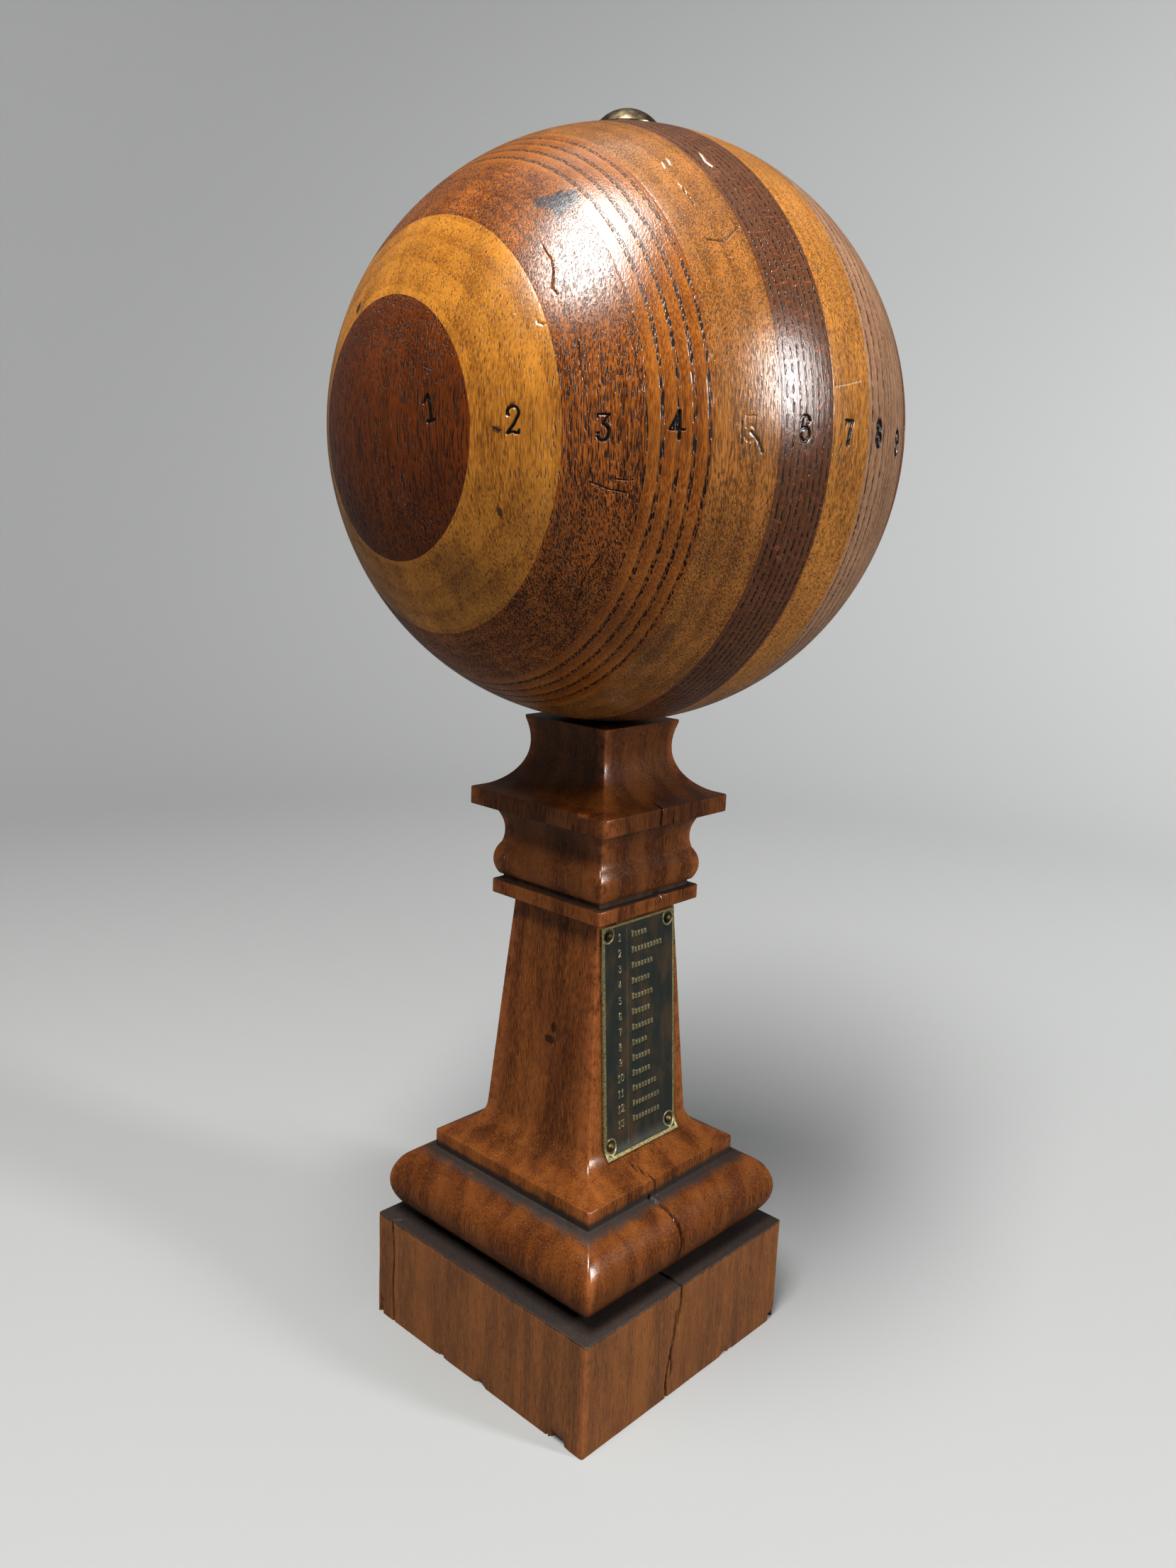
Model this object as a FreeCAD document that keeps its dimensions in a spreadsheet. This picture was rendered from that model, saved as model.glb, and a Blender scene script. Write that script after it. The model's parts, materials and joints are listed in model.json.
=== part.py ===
import FreeCAD, Part

import os
from math import atan2, hypot, pi, sqrt

import Sketcher

# Specimen ball: thirteen numbered boards of different timbers, glued face to face and turned to a
# ball, which turns on a brass-capped spindle over a square moulded pedestal with a brass list plate.
# The origin is the middle of the pedestal's underside, +Z is up and the plate faces -Y.

SIZES = (
    # Pedestal: half-widths of the square plan, and heights above the table.
    ("plinth_half", 57.5),
    ("plinth_top", 44.3),
    ("torus_foot_half", 45.1),
    ("torus_foot", 45.3),
    ("torus_radius", 15.0),
    ("slab_half", 41.75),
    ("slab_foot", 74.3),
    ("slab_top", 81.3),
    ("cove_foot_half", 32.9),
    ("cove_foot", 86.0),
    ("cove_radius", 10.0),
    ("shaft_foot_half", 27.6),
    ("shaft_foot", 94.1),
    ("shaft_top_half", 21.4),
    ("shaft_top", 180.2),
    ("astragal_half", 27.95),
    ("astragal_top", 185.4),
    ("groove_half", 24.9),
    ("groove_top", 187.6),
    ("ovolo_foot_half", 26.0),
    ("ovolo_radius", 10.6),
    ("ovolo_top_half", 25.6),
    ("ovolo_top", 199.9),
    ("cavetto_radius", 14.3),
    ("abacus_soffit_half", 28.75),
    ("abacus_foot", 214.4),
    ("abacus_half", 34.3),
    ("abacus_top", 220.8),
    ("scotia_radius", 18.1),
    ("neck_waist_half", 18.75),
    ("neck_waist", 238.7),
    ("flare_radius", 25.7),
    ("neck_half", 20.3),
    ("flare_top", 247.5),
    ("neck_top", 248.5),
    ("saw_clearance", 20.0),
    # Spindle, its bores and its hardware (M8).
    ("spindle_radius", 4.0),
    ("bore_radius", 4.1),
    ("nut_bore_radius", 4.05),
    ("spindle_foot", 4.0),
    ("spindle_top", 449.5),
    ("counterbore_radius", 13.0),
    ("counterbore_depth", 14.0),
    ("foot_washer_radius", 11.0),
    ("foot_washer_thickness", 1.6),
    ("nut_across_flats", 13.0),
    ("nut_thickness", 6.5),
    ("cap_washer_radius", 12.0),
    ("cap_washer_thickness", 0.8),
    ("cap_radius", 11.0),
    ("cap_rim", 2.0),
    ("cap_height", 7.7),
    ("cap_bore_depth", 5.0),
    # Ball: the boards run across its lamination axis, which is close to -X.
    ("ball_radius", 99.0),
    ("ball_centre", 347.1),
    ("ball_turn", -5.27),
    ("ball_tilt", 2.36),
    ("seat_gap", 0.1),
    ("seat_radius", 16.0),
    ("spotface_radius", 12.5),
    ("spotface_depth", 1.6),
    # The far face of each board from the ball's centre, along the lamination axis.
    ("walnut_end", 91.0),
    ("chestnut_end", 76.9),
    ("robinia_end", 60.4),
    ("ash_end", 44.0),
    ("lime_end", 24.3),
    ("oak_end", 4.5),
    ("hornbeam_end", -13.8),
    ("elm_end", -28.4),
    ("fir_end", -46.0),
    ("larch_end", -60.5),
    ("cherry_end", -75.0),
    ("poplar_end", -90.0),
    # Name plate and its four pins.
    ("plate_half", 20.25),
    ("plate_thickness", 0.8),
    ("plate_gap", 0.05),
    ("plate_top", 176.5),
    ("plate_foot", 88.5),
    ("pin_spread", 16.6),
    ("upper_pins", 173.0),
    ("lower_pins", 92.3),
    ("pin_radius", 0.72),
    ("pin_hole_radius", 0.8),
    ("pin_depth", 10.0),
    ("pin_hole_spare", 0.5),
    ("pin_head_lift", 0.2),
    ("pin_head_sphere", 1.8),
    ("pin_head_latitude", 25.0),
)

STRAIGHT = None
BULGING = 1
HOLLOW = -1

# The moulding's section from the floor up: half-width, height, and the radius and sense of the
# stretch that leads to the next corner.
MOULDING = (
    ("plinth_half", "0", STRAIGHT, None),
    ("plinth_half", "plinth_top", STRAIGHT, None),
    ("torus_foot_half", "plinth_top", STRAIGHT, None),
    ("torus_foot_half", "torus_foot", "torus_radius", BULGING),
    ("slab_half", "slab_foot", STRAIGHT, None),
    ("slab_half", "slab_top", STRAIGHT, None),
    ("cove_foot_half", "cove_foot", "cove_radius", HOLLOW),
    ("shaft_foot_half", "shaft_foot", STRAIGHT, None),
    ("shaft_top_half", "shaft_top", STRAIGHT, None),
    ("astragal_half", "shaft_top", STRAIGHT, None),
    ("astragal_half", "astragal_top", STRAIGHT, None),
    ("groove_half", "astragal_top", STRAIGHT, None),
    ("groove_half", "groove_top", STRAIGHT, None),
    ("ovolo_foot_half", "groove_top", "ovolo_radius", BULGING),
    ("ovolo_top_half", "ovolo_top", "cavetto_radius", HOLLOW),
    ("abacus_soffit_half", "abacus_foot", STRAIGHT, None),
    ("abacus_half", "abacus_foot", STRAIGHT, None),
    ("abacus_half", "abacus_top", "scotia_radius", HOLLOW),
    ("neck_waist_half", "neck_waist", "flare_radius", HOLLOW),
    ("neck_half", "flare_top", STRAIGHT, None),
    ("neck_half", "neck_top", STRAIGHT, None),
)

# The boards in the order of their stamped numbers, 1 to 13.
TIMBERS = (
    "walnut",
    "chestnut",
    "robinia",
    "ash",
    "lime",
    "oak",
    "hornbeam",
    "elm",
    "fir",
    "larch",
    "cherry",
    "poplar",
    "pear",
)
# The boards that the spindle's bore, the spot face or the flat seat reaches.
BORED_TIMBERS = ("oak", "hornbeam", "elm")

# The shaft's lean off the vertical, and the middle of the cove at its foot.
LEAN = "atan( ( shaft_foot_half - shaft_top_half ) / ( shaft_top - shaft_foot ) )"
COVE_ACROSS = f"( shaft_foot_half + cove_radius * cos( {LEAN} ) )"
COVE_UP = f"( shaft_foot + cove_radius * sin( {LEAN} ) )"

doc = FreeCAD.newDocument("specimen_ball")
sheet = doc.addObject("Spreadsheet::Sheet", "Sizes")


def fill_sheet():
    for row, (alias, size) in enumerate(SIZES, start=1):
        sheet.set(f"A{row}", alias)
        sheet.set(f"B{row}", str(size))
        sheet.setAlias(f"B{row}", alias)
    doc.recompute()


def named(formula):
    """The formula with every alias in it written as a reference to the sheet."""
    words = formula.split()
    aliases = [alias for alias, _ in SIZES]
    return " ".join(f"Sizes.{word}" if word in aliases else word for word in words)


def value(formula):
    return float(sheet.evalExpression(named(formula)))


def bind(target, prop, formula):
    target.setExpression(prop, named(formula))


def new_body(name):
    body = doc.addObject("PartDesign::Body", name)
    body.Label = name
    return body


def new_sketch(body, name, plane):
    """A sketch on one of the body's own origin planes."""
    sketch = body.newObject("Sketcher::SketchObject", name)
    planes = {feature.Role: feature for feature in body.Origin.OriginFeatures}
    sketch.AttachmentSupport = (planes[plane], [""])
    sketch.MapMode = "FlatFace"
    return sketch


def place_point(sketch, edge, end, corner):
    """Fix one end of an edge at the corner's two formulas, measured from the sketch's origin."""
    for kind, formula in zip(("DistanceX", "DistanceY"), corner[:2]):
        number = sketch.addConstraint(Sketcher.Constraint(kind, -1, 1, edge, end, value(formula)))
        bind(sketch, f"Constraints[{number}]", formula)


def arc_centre(start, end, radius, sense):
    """Centre of the arc from start to end; it lies left of the way there if the arc bulges."""
    run_x = end[0] - start[0]
    run_y = end[1] - start[1]
    chord = hypot(run_x, run_y)
    rise = sense * sqrt(radius**2 - (chord / 2) ** 2)
    centre_x = (start[0] + end[0]) / 2 - run_y / chord * rise
    centre_y = (start[1] + end[1]) / 2 + run_x / chord * rise
    return centre_x, centre_y


def add_arc(sketch, start, end, radius_formula, sense):
    """Add the arc and return the edge with the numbers of its ends in the way of travel."""
    radius = value(radius_formula)
    centre = arc_centre(start, end, radius, sense)
    first, last = (start, end) if sense == BULGING else (end, start)
    from_angle = atan2(first[1] - centre[1], first[0] - centre[0])
    to_angle = atan2(last[1] - centre[1], last[0] - centre[0])
    if to_angle <= from_angle:
        to_angle += 2 * pi
    circle = Part.Circle(FreeCAD.Vector(*centre, 0), FreeCAD.Vector(0, 0, 1), radius)
    edge = sketch.addGeometry(Part.ArcOfCircle(circle, from_angle, to_angle), False)
    number = sketch.addConstraint(Sketcher.Constraint("Radius", edge, radius))
    bind(sketch, f"Constraints[{number}]", radius_formula)
    return (edge, 1, 2) if sense == BULGING else (edge, 2, 1)


def add_line(sketch, start, end):
    line = Part.LineSegment(FreeCAD.Vector(*start, 0), FreeCAD.Vector(*end, 0))
    return sketch.addGeometry(line, False), 1, 2


def draw_outline(sketch, corners):
    """Draw a closed outline; each corner says where it is and how the next one is reached."""
    points = [(value(corner[0]), value(corner[1])) for corner in corners]
    edges = []
    for index, (_, _, radius, sense) in enumerate(corners):
        start = points[index]
        end = points[(index + 1) % len(points)]
        if radius is STRAIGHT:
            edges.append(add_line(sketch, start, end))
        else:
            edges.append(add_arc(sketch, start, end, radius, sense))
    for index, (edge, begin, _) in enumerate(edges):
        before, _, finish = edges[index - 1]
        sketch.addConstraint(Sketcher.Constraint("Coincident", before, finish, edge, begin))
        place_point(sketch, edge, begin, corners[index])


def draw_circle(sketch, across, up, radius):
    """Draw a circle round the point that two formulas give."""
    centre = FreeCAD.Vector(value(across), value(up), 0)
    circle = Part.Circle(centre, FreeCAD.Vector(0, 0, 1), value(radius))
    edge = sketch.addGeometry(circle, False)
    place_point(sketch, edge, 3, (across, up))
    number = sketch.addConstraint(Sketcher.Constraint("Radius", edge, value(radius)))
    bind(sketch, f"Constraints[{number}]", radius)


def mirrored(corners):
    """The same stretch on the other side of the vertical axis, walked the other way."""
    ways = [corner[2:] for corner in corners]
    ways = [(STRAIGHT, None)] + ways[-2::-1] + [(STRAIGHT, None)]
    places = [(f"0 - {across}", up) for across, up, _, _ in reversed(corners)]
    return [(*place, *way) for place, way in zip(places, ways[1:])]


def waste_outline():
    """What is sawn off beside the moulding, from the plinth's top upwards."""
    clear_half = "plinth_half + saw_clearance"
    clear_top = "neck_top + saw_clearance"
    outline = [
        (clear_half, "plinth_top", STRAIGHT, None),
        (clear_half, clear_top, STRAIGHT, None),
        ("neck_half", clear_top, STRAIGHT, None),
    ]
    downward = list(MOULDING[-2:1:-1])
    for index, (across, up, _, _) in enumerate(downward):
        radius, sense = MOULDING[-3 - index][2:]
        outline.append((across, up, radius, None if sense is None else -sense))
    across, up, _, _ = outline.pop()
    outline.append((across, up, STRAIGHT, None))
    return outline


def other_side(corners):
    """A closed outline mirrored in the vertical axis and walked the other way, sense kept."""
    flipped = []
    for index in range(len(corners) - 1, -1, -1):
        across, up, _, _ = corners[index]
        radius, sense = corners[index - 1][2:]
        flipped.append((f"0 - ( {across} )", up, radius, sense))
    return flipped


def pad_between_sides(body, name, sketch, length):
    pad = body.newObject("PartDesign::Pad", name)
    pad.Profile = sketch
    pad.SideType = "Symmetric"
    bind(pad, "Length", length)
    return pad


def pocket(body, name, sketch, depth=None, reverse=False, symmetric=False):
    """Cut the sketch's areas through everything, or as deep as the formula says."""
    cut = body.newObject("PartDesign::Pocket", name)
    cut.Profile = sketch
    cut.Type = "ThroughAll" if depth is None else "Length"
    if symmetric:
        cut.SideType = "Symmetric"
    cut.Reversed = reverse
    if depth is not None:
        bind(cut, "Length", depth)
    return cut


def revolve(body, name, sketch, axis):
    turned = body.newObject("PartDesign::Revolution", name)
    turned.Profile = sketch
    turned.ReferenceAxis = (sketch, [axis])
    turned.Angle = 360
    return turned


def pin_places():
    """For each pin, where it meets the face under the plate, and that face's lean there."""
    upper_face = f"( shaft_foot_half - ( upper_pins - shaft_foot ) * tan( {LEAN} ) )"
    lower_lean = f"asin( ( {COVE_UP} - lower_pins ) / cove_radius )"
    lower_face = f"( {COVE_ACROSS} - cove_radius * cos( {lower_lean} ) )"
    for up, face, lean in (
        ("upper_pins", upper_face, LEAN),
        ("lower_pins", lower_face, lower_lean),
    ):
        for across in ("0 - pin_spread", "pin_spread"):
            yield across, face, up, lean


def aim_along_pin(item, place, start):
    """Stand the item on the pin's line, start millimetres out from the face and leading outwards."""
    across, face, up, lean = place
    out = f"0 - {face} - ( {start} ) * cos( {lean} )"
    rise = f"{up} + ( {start} ) * sin( {lean} )"
    point = f"create(<<vector>>; {named(across)}; {named(out)}; {named(rise)})"
    turn = f"create(<<rotation>>; create(<<vector>>; 1; 0; 0); 90 - {named(lean)} / 1 deg)"
    item.setExpression("Placement", f"create(<<placement>>; {point}; {turn})")


def make_pin_holes():
    """The four drillings through the plate and into the shaft."""
    drillings = []
    for number, place in enumerate(pin_places(), start=1):
        drilling = doc.addObject("Part::Cylinder", f"pin_drilling_{number}")
        bind(drilling, "Radius", "pin_hole_radius")
        bind(drilling, "Height", "pin_depth + 2 * pin_hole_spare")
        aim_along_pin(drilling, place, "plate_gap + plate_thickness - pin_depth - pin_hole_spare")
        drillings.append(drilling)
    holes = doc.addObject("Part::MultiFuse", "pin_holes")
    holes.Shapes = drillings
    return holes


def make_cut(name, base, tool):
    """The base with the tool taken out of it, under the node's name."""
    result = doc.addObject("Part::Cut", name)
    result.Label = name
    result.Base = base
    result.Tool = tool
    return result


def make_pedestal(pin_holes):
    """One solid block: the moulding is cut on two pairs of sides, then the block is drilled."""
    body = new_body("pedestal_block")
    section = new_sketch(body, "moulding_section", "XZ_Plane")
    draw_outline(section, list(MOULDING) + mirrored(list(MOULDING)))
    pad_between_sides(body, "block", section, "2 * plinth_half")
    waste = new_sketch(body, "side_waste", "YZ_Plane")
    draw_outline(waste, waste_outline())
    draw_outline(waste, other_side(waste_outline()))
    pocket(body, "moulded_sides", waste, symmetric=True)
    bore = new_sketch(body, "bore_circle", "XY_Plane")
    draw_circle(bore, "0", "0", "bore_radius")
    pocket(body, "spindle_bore", bore, reverse=True)
    mouth = new_sketch(body, "counterbore_circle", "XY_Plane")
    draw_circle(mouth, "0", "0", "counterbore_radius")
    pocket(body, "nut_counterbore", mouth, depth="counterbore_depth", reverse=True)
    return make_cut("pedestal", body, pin_holes)


def board_outline(outer, inner):
    """Half-section of a board across the lamination axis; None stands for the ball's own end."""
    inner_height = f"sqrt( ball_radius ^ 2 - ( {inner} ) ^ 2 )" if inner else None
    corners = []
    if inner:
        corners.append((inner, "0", STRAIGHT, None))
    else:
        corners.append(("0 - ball_radius", "0", STRAIGHT, None))
    if outer:
        outer_height = f"sqrt( ball_radius ^ 2 - ( {outer} ) ^ 2 )"
        corners.append((outer, "0", STRAIGHT, None))
        corners.append((outer, outer_height, "ball_radius", BULGING))
    else:
        corners.append(("ball_radius", "0", "ball_radius", BULGING))
    if inner:
        corners.append((inner, inner_height, STRAIGHT, None))
    return corners


def make_board_blank(name, outer, inner):
    """A slice of the ball, turned about the lamination axis, which is the body's own X axis."""
    body = new_body(name)
    section = new_sketch(body, f"{name}_section", "XY_Plane")
    draw_outline(section, board_outline(outer, inner))
    revolve(body, f"{name}_turned", section, "H_Axis")
    centre = "create(<<vector>>; 0; 0; Sizes.ball_centre)"
    turn = "create(<<rotation>>; 180 + Sizes.ball_turn; Sizes.ball_tilt; 0)"
    body.setExpression("Placement", f"create(<<placement>>; {centre}; {turn})")
    return body


def make_cylinder(name, radius, foot, length):
    """A drilling or rod on the spindle's axis."""
    cylinder = doc.addObject("Part::Cylinder", name)
    bind(cylinder, "Radius", radius)
    bind(cylinder, "Height", length)
    bind(cylinder, "Placement.Base.z", foot)
    return cylinder


def make_ball_bores():
    """What is cut out of the glued ball: the bore, the spot face on top and the seat below."""
    ball_foot = "ball_centre - ball_radius"
    ball_top = "ball_centre + ball_radius"
    bore = make_cylinder("ball_bore", "bore_radius", ball_foot, "2 * ball_radius")
    spotface = make_cylinder(
        "spot_face", "spotface_radius", f"{ball_top} - spotface_depth", "2 * spotface_depth"
    )
    seat = make_cylinder("ball_seat", "seat_radius", ball_foot, f"neck_top + seat_gap - ( {ball_foot} )")
    bores = doc.addObject("Part::MultiFuse", "ball_bores")
    bores.Shapes = [bore, spotface, seat]
    return bores


def make_boards():
    """The thirteen boards; those that the drillings reach are cut by them."""
    bores = make_ball_bores()
    ends = [None] + [f"{timber}_end" for timber in TIMBERS[:-1]] + [None]
    boards = []
    for number, timber in enumerate(TIMBERS, start=1):
        node = f"slice_{number:02d}_{timber}"
        blank_name = f"{timber}_blank" if timber in BORED_TIMBERS else node
        blank = make_board_blank(blank_name, ends[number - 1], ends[number])
        boards.append(make_cut(node, blank, bores) if timber in BORED_TIMBERS else blank)
    return boards


def make_spindle():
    spindle = make_cylinder("spindle", "spindle_radius", "spindle_foot", "spindle_top - spindle_foot")
    spindle.Label = "spindle"
    return spindle


def make_ring(name, radius, bore, foot, thickness):
    """A washer on the spindle."""
    disc = make_cylinder(f"{name}_disc", radius, foot, thickness)
    hole = make_cylinder(f"{name}_hole", bore, foot, thickness)
    return make_cut(name, disc, hole)


def make_washers():
    foot = "counterbore_depth - foot_washer_thickness"
    foot_washer = make_ring("foot_washer", "foot_washer_radius", "bore_radius", foot, "foot_washer_thickness")
    floor = "ball_centre + ball_radius - spotface_depth + seat_gap"
    cap_washer = make_ring("cap_washer", "cap_washer_radius", "bore_radius", floor, "cap_washer_thickness")
    return [foot_washer, cap_washer]


def make_foot_nut():
    """Plain hexagon nut, bevelled at its outer face by the cylinder it is turned from."""
    foot = "counterbore_depth - foot_washer_thickness - nut_thickness"
    hexagon = doc.addObject("Part::Prism", "nut_hexagon")
    hexagon.Polygon = 6
    bind(hexagon, "Circumradius", "nut_across_flats / sqrt( 3 )")
    bind(hexagon, "Height", "nut_thickness")
    bind(hexagon, "Placement.Base.z", foot)
    bevel = doc.addObject("Part::Cone", "nut_bevel")
    bind(bevel, "Radius1", "nut_across_flats * 0.475")
    bind(bevel, "Radius2", "nut_across_flats * 0.475 + nut_thickness * 2")
    bind(bevel, "Height", "nut_thickness")
    bind(bevel, "Placement.Base.z", foot)
    bevelled = doc.addObject("Part::Common", "nut_blank")
    bevelled.Base = hexagon
    bevelled.Tool = bevel
    thread = make_cylinder("nut_thread", "nut_bore_radius", foot, "nut_thickness")
    return make_cut("foot_nut", bevelled, thread)


def make_cap_nut():
    """Low brass dome with a blind threaded hole, standing on the upper washer."""
    seat = "ball_centre + ball_radius - spotface_depth + seat_gap + cap_washer_thickness"
    top = f"{seat} + cap_height"
    rise = "( cap_height - cap_rim )"
    dome_radius = f"( cap_radius ^ 2 + {rise} ^ 2 ) / ( 2 * {rise} )"
    body = new_body("cap_nut")
    section = new_sketch(body, "cap_section", "XZ_Plane")
    draw_outline(
        section,
        [
            ("nut_bore_radius", seat, STRAIGHT, None),
            ("cap_radius", seat, STRAIGHT, None),
            ("cap_radius", f"{seat} + cap_rim", dome_radius, BULGING),
            ("0", top, STRAIGHT, None),
            ("0", f"{seat} + cap_bore_depth", STRAIGHT, None),
            ("nut_bore_radius", f"{seat} + cap_bore_depth", STRAIGHT, None),
        ],
    )
    revolve(body, "cap_turned", section, "V_Axis")
    return body


def plate_side(off, radius):
    """Top, bend and foot of one face of the plate, which lies off millimetres out from the wood."""
    shaft_face = f"shaft_foot_half - ( plate_top - shaft_foot ) * tan( {LEAN} )"
    top = (f"0 - ( {shaft_face} + {off} * cos( {LEAN} ) )", f"plate_top + {off} * sin( {LEAN} )")
    bend = (f"0 - ( shaft_foot_half + {off} * cos( {LEAN} ) )", f"shaft_foot + {off} * sin( {LEAN} )")
    reach = f"sqrt( ( {radius} ) ^ 2 - ( {COVE_UP} - plate_foot ) ^ 2 )"
    foot = (f"0 - ( {COVE_ACROSS} - {reach} )", "plate_foot")
    return top, bend, foot


def make_name_plate(pin_holes):
    """Thin plate, flat down the shaft and bent out over the foot cove, pinned at its corners."""
    back_radius = "cove_radius - plate_gap"
    front_radius = f"{back_radius} - plate_thickness"
    back_top, back_bend, back_foot = plate_side("plate_gap", back_radius)
    front_top, front_bend, front_foot = plate_side("( plate_gap + plate_thickness )", front_radius)
    body = new_body("plate_strip")
    section = new_sketch(body, "plate_section", "YZ_Plane")
    draw_outline(
        section,
        [
            (*front_top, STRAIGHT, None),
            (*front_bend, front_radius, HOLLOW),
            (*front_foot, STRAIGHT, None),
            (*back_foot, back_radius, BULGING),
            (*back_bend, STRAIGHT, None),
            (*back_top, STRAIGHT, None),
        ],
    )
    pad_between_sides(body, "strip", section, "2 * plate_half")
    return make_cut("name_plate", body, pin_holes)


def make_pin(number, place):
    """A round-headed pin, driven square to the face under the plate, its head just clear of it."""
    shank = doc.addObject("Part::Cylinder", f"pin_shank_{number}")
    bind(shank, "Radius", "pin_radius")
    bind(shank, "Height", "pin_depth + pin_head_lift")
    head = doc.addObject("Part::Sphere", f"pin_head_{number}")
    bind(head, "Radius", "pin_head_sphere")
    bind(head, "Angle1", "pin_head_latitude")
    below_head = "pin_head_sphere * sin( pin_head_latitude * 1 deg )"
    bind(head, "Placement.Base.z", f"pin_depth + pin_head_lift - {below_head}")
    pin = doc.addObject("Part::Fuse", f"pin_{number}")
    pin.Base = shank
    pin.Tool = head
    aim_along_pin(pin, place, "plate_gap + plate_thickness - pin_depth")
    return pin


def make_pins():
    pins = [make_pin(number, place) for number, place in enumerate(pin_places(), start=1)]
    group = doc.addObject("Part::Compound", "plate_pins")
    group.Label = "plate_pins"
    group.Links = pins
    return group


def check(parts):
    """Stop if anything failed to compute, or if a part is empty or not valid."""
    for item in doc.Objects:
        if "Invalid" in item.State or "Error" in item.State:
            raise SystemExit(f"{item.Label} failed: {item.State}")
    for item in parts:
        if item.Shape.isNull() or not item.Shape.isValid() or item.Shape.Volume <= 0:
            raise SystemExit(f"{item.Label} has no valid shape")


def write(parts):
    os.makedirs("parts", exist_ok=True)
    for item in parts:
        item.Shape.exportStep(f"parts/{item.Label}.step")
        print(item.Label, "solids", len(item.Shape.Solids), "volume", round(item.Shape.Volume, 1))


fill_sheet()
pin_holes = make_pin_holes()
parts = [make_pedestal(pin_holes)]
parts += make_boards()
parts += [make_spindle(), make_cap_nut(), make_foot_nut(), make_name_plate(pin_holes), make_pins()]
parts += make_washers()
doc.recompute()
check(parts)
write(parts)
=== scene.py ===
import json
from collections import namedtuple
from math import acos, asin, atan, ceil, cos, pi, radians, sin, sqrt

import bpy
import numpy as np
from mathutils import Matrix, Vector


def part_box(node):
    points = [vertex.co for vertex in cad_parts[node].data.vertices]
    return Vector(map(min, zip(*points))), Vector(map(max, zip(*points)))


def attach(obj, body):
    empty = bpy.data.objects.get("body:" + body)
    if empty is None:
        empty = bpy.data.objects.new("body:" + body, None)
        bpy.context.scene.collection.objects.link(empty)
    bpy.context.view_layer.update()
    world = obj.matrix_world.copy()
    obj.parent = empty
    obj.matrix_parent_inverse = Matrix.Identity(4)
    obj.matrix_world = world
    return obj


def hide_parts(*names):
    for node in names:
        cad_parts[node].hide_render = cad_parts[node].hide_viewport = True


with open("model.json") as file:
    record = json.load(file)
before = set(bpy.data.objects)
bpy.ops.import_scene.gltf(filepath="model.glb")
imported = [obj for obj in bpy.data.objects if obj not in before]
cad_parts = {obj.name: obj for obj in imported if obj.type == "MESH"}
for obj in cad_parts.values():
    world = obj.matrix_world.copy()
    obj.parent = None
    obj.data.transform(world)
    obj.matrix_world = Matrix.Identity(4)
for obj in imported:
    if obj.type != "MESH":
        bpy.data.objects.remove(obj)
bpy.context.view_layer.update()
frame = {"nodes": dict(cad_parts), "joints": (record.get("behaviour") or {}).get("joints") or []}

MM = 0.001
RNG_SEED = 20260

# --- Places, read from the frame ---

# The boards of the ball are square to its lamination axis, which leans a little off -X.
BALL_TURN = radians(-5.27)
BALL_TILT = radians(2.36)
ACROSS = np.array([-cos(BALL_TURN) * cos(BALL_TILT), -sin(BALL_TURN) * cos(BALL_TILT), -sin(BALL_TILT)])
UPWARD = np.array([0.0, 0.0, 1.0]) - ACROSS[2] * ACROSS
UPWARD = UPWARD / np.linalg.norm(UPWARD)
OUTWARD = np.cross(UPWARD, ACROSS)

BALL_CENTRE = np.array(frame["joints"][0]["pos_m"], float)
BOARDS = sorted(name for name in frame["nodes"] if name.startswith("slice_"))


def node_points(name):
    """A CAD node's corner points, as rows of x, y and z."""
    return np.array([vertex.co for vertex in frame["nodes"][name].data.vertices], float)


def board_span(name):
    """How far a board reaches along the lamination axis, from the ball's centre."""
    reach = (node_points(name) - BALL_CENTRE) @ ACROSS
    return float(reach.min()), float(reach.max())


SPANS = {name: board_span(name) for name in BOARDS}
BALL_RADIUS = max(high for _, high in SPANS.values())


# --- Mesh helpers ---


def smooth_step(values, start, end):
    """0 up to start, 1 from end, with a soft rise between."""
    share = np.clip((values - start) / (end - start), 0.0, 1.0)
    return share * share * (3.0 - 2.0 * share)


def ripple(points, wavelength, seed, waves=10):
    """A smooth, repeatable random field of about -1 to 1 over points, as a sum of plane waves."""
    rng = np.random.default_rng(RNG_SEED + seed)
    total = np.zeros(len(points))
    for _ in range(waves):
        direction = rng.normal(size=3)
        direction /= np.linalg.norm(direction)
        stretch = rng.uniform(0.7, 1.4)
        phase = rng.uniform(0.0, 2.0 * pi)
        total += np.sin(points @ direction * (2.0 * pi * stretch / wavelength) + phase)
    return total / sqrt(waves / 2.0) / 1.6


def add_mesh(name, points, faces, body, material, sharp=35.0, layers=None):
    """Make a piece from points and faces; layers are one number per point for its material."""
    mesh = bpy.data.meshes.new(name)
    mesh.from_pydata(points.tolist(), [], faces)
    for layer, values in (layers or {}).items():
        attribute = mesh.attributes.new(layer, "FLOAT", "POINT")
        attribute.data.foreach_set("value", values.astype(np.float32))
    mesh.shade_smooth()
    mesh.set_sharp_from_angle(angle=radians(sharp))
    mesh.materials.append(material)
    piece = bpy.data.objects.new(name, mesh)
    bpy.context.scene.collection.objects.link(piece)
    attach(piece, body)
    return piece


def grid_faces(rows, columns, closed=True):
    """Quads between the rows of a grid of points, which closes on itself round each row."""
    last = columns if closed else columns - 1
    here = np.arange(rows - 1)[:, None] * columns
    left = np.arange(last)[None, :]
    right = (left + 1) % columns
    quads = np.stack([here + left, here + right, here + columns + right, here + columns + left], -1)
    return quads.reshape(-1, 4).tolist()


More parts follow.
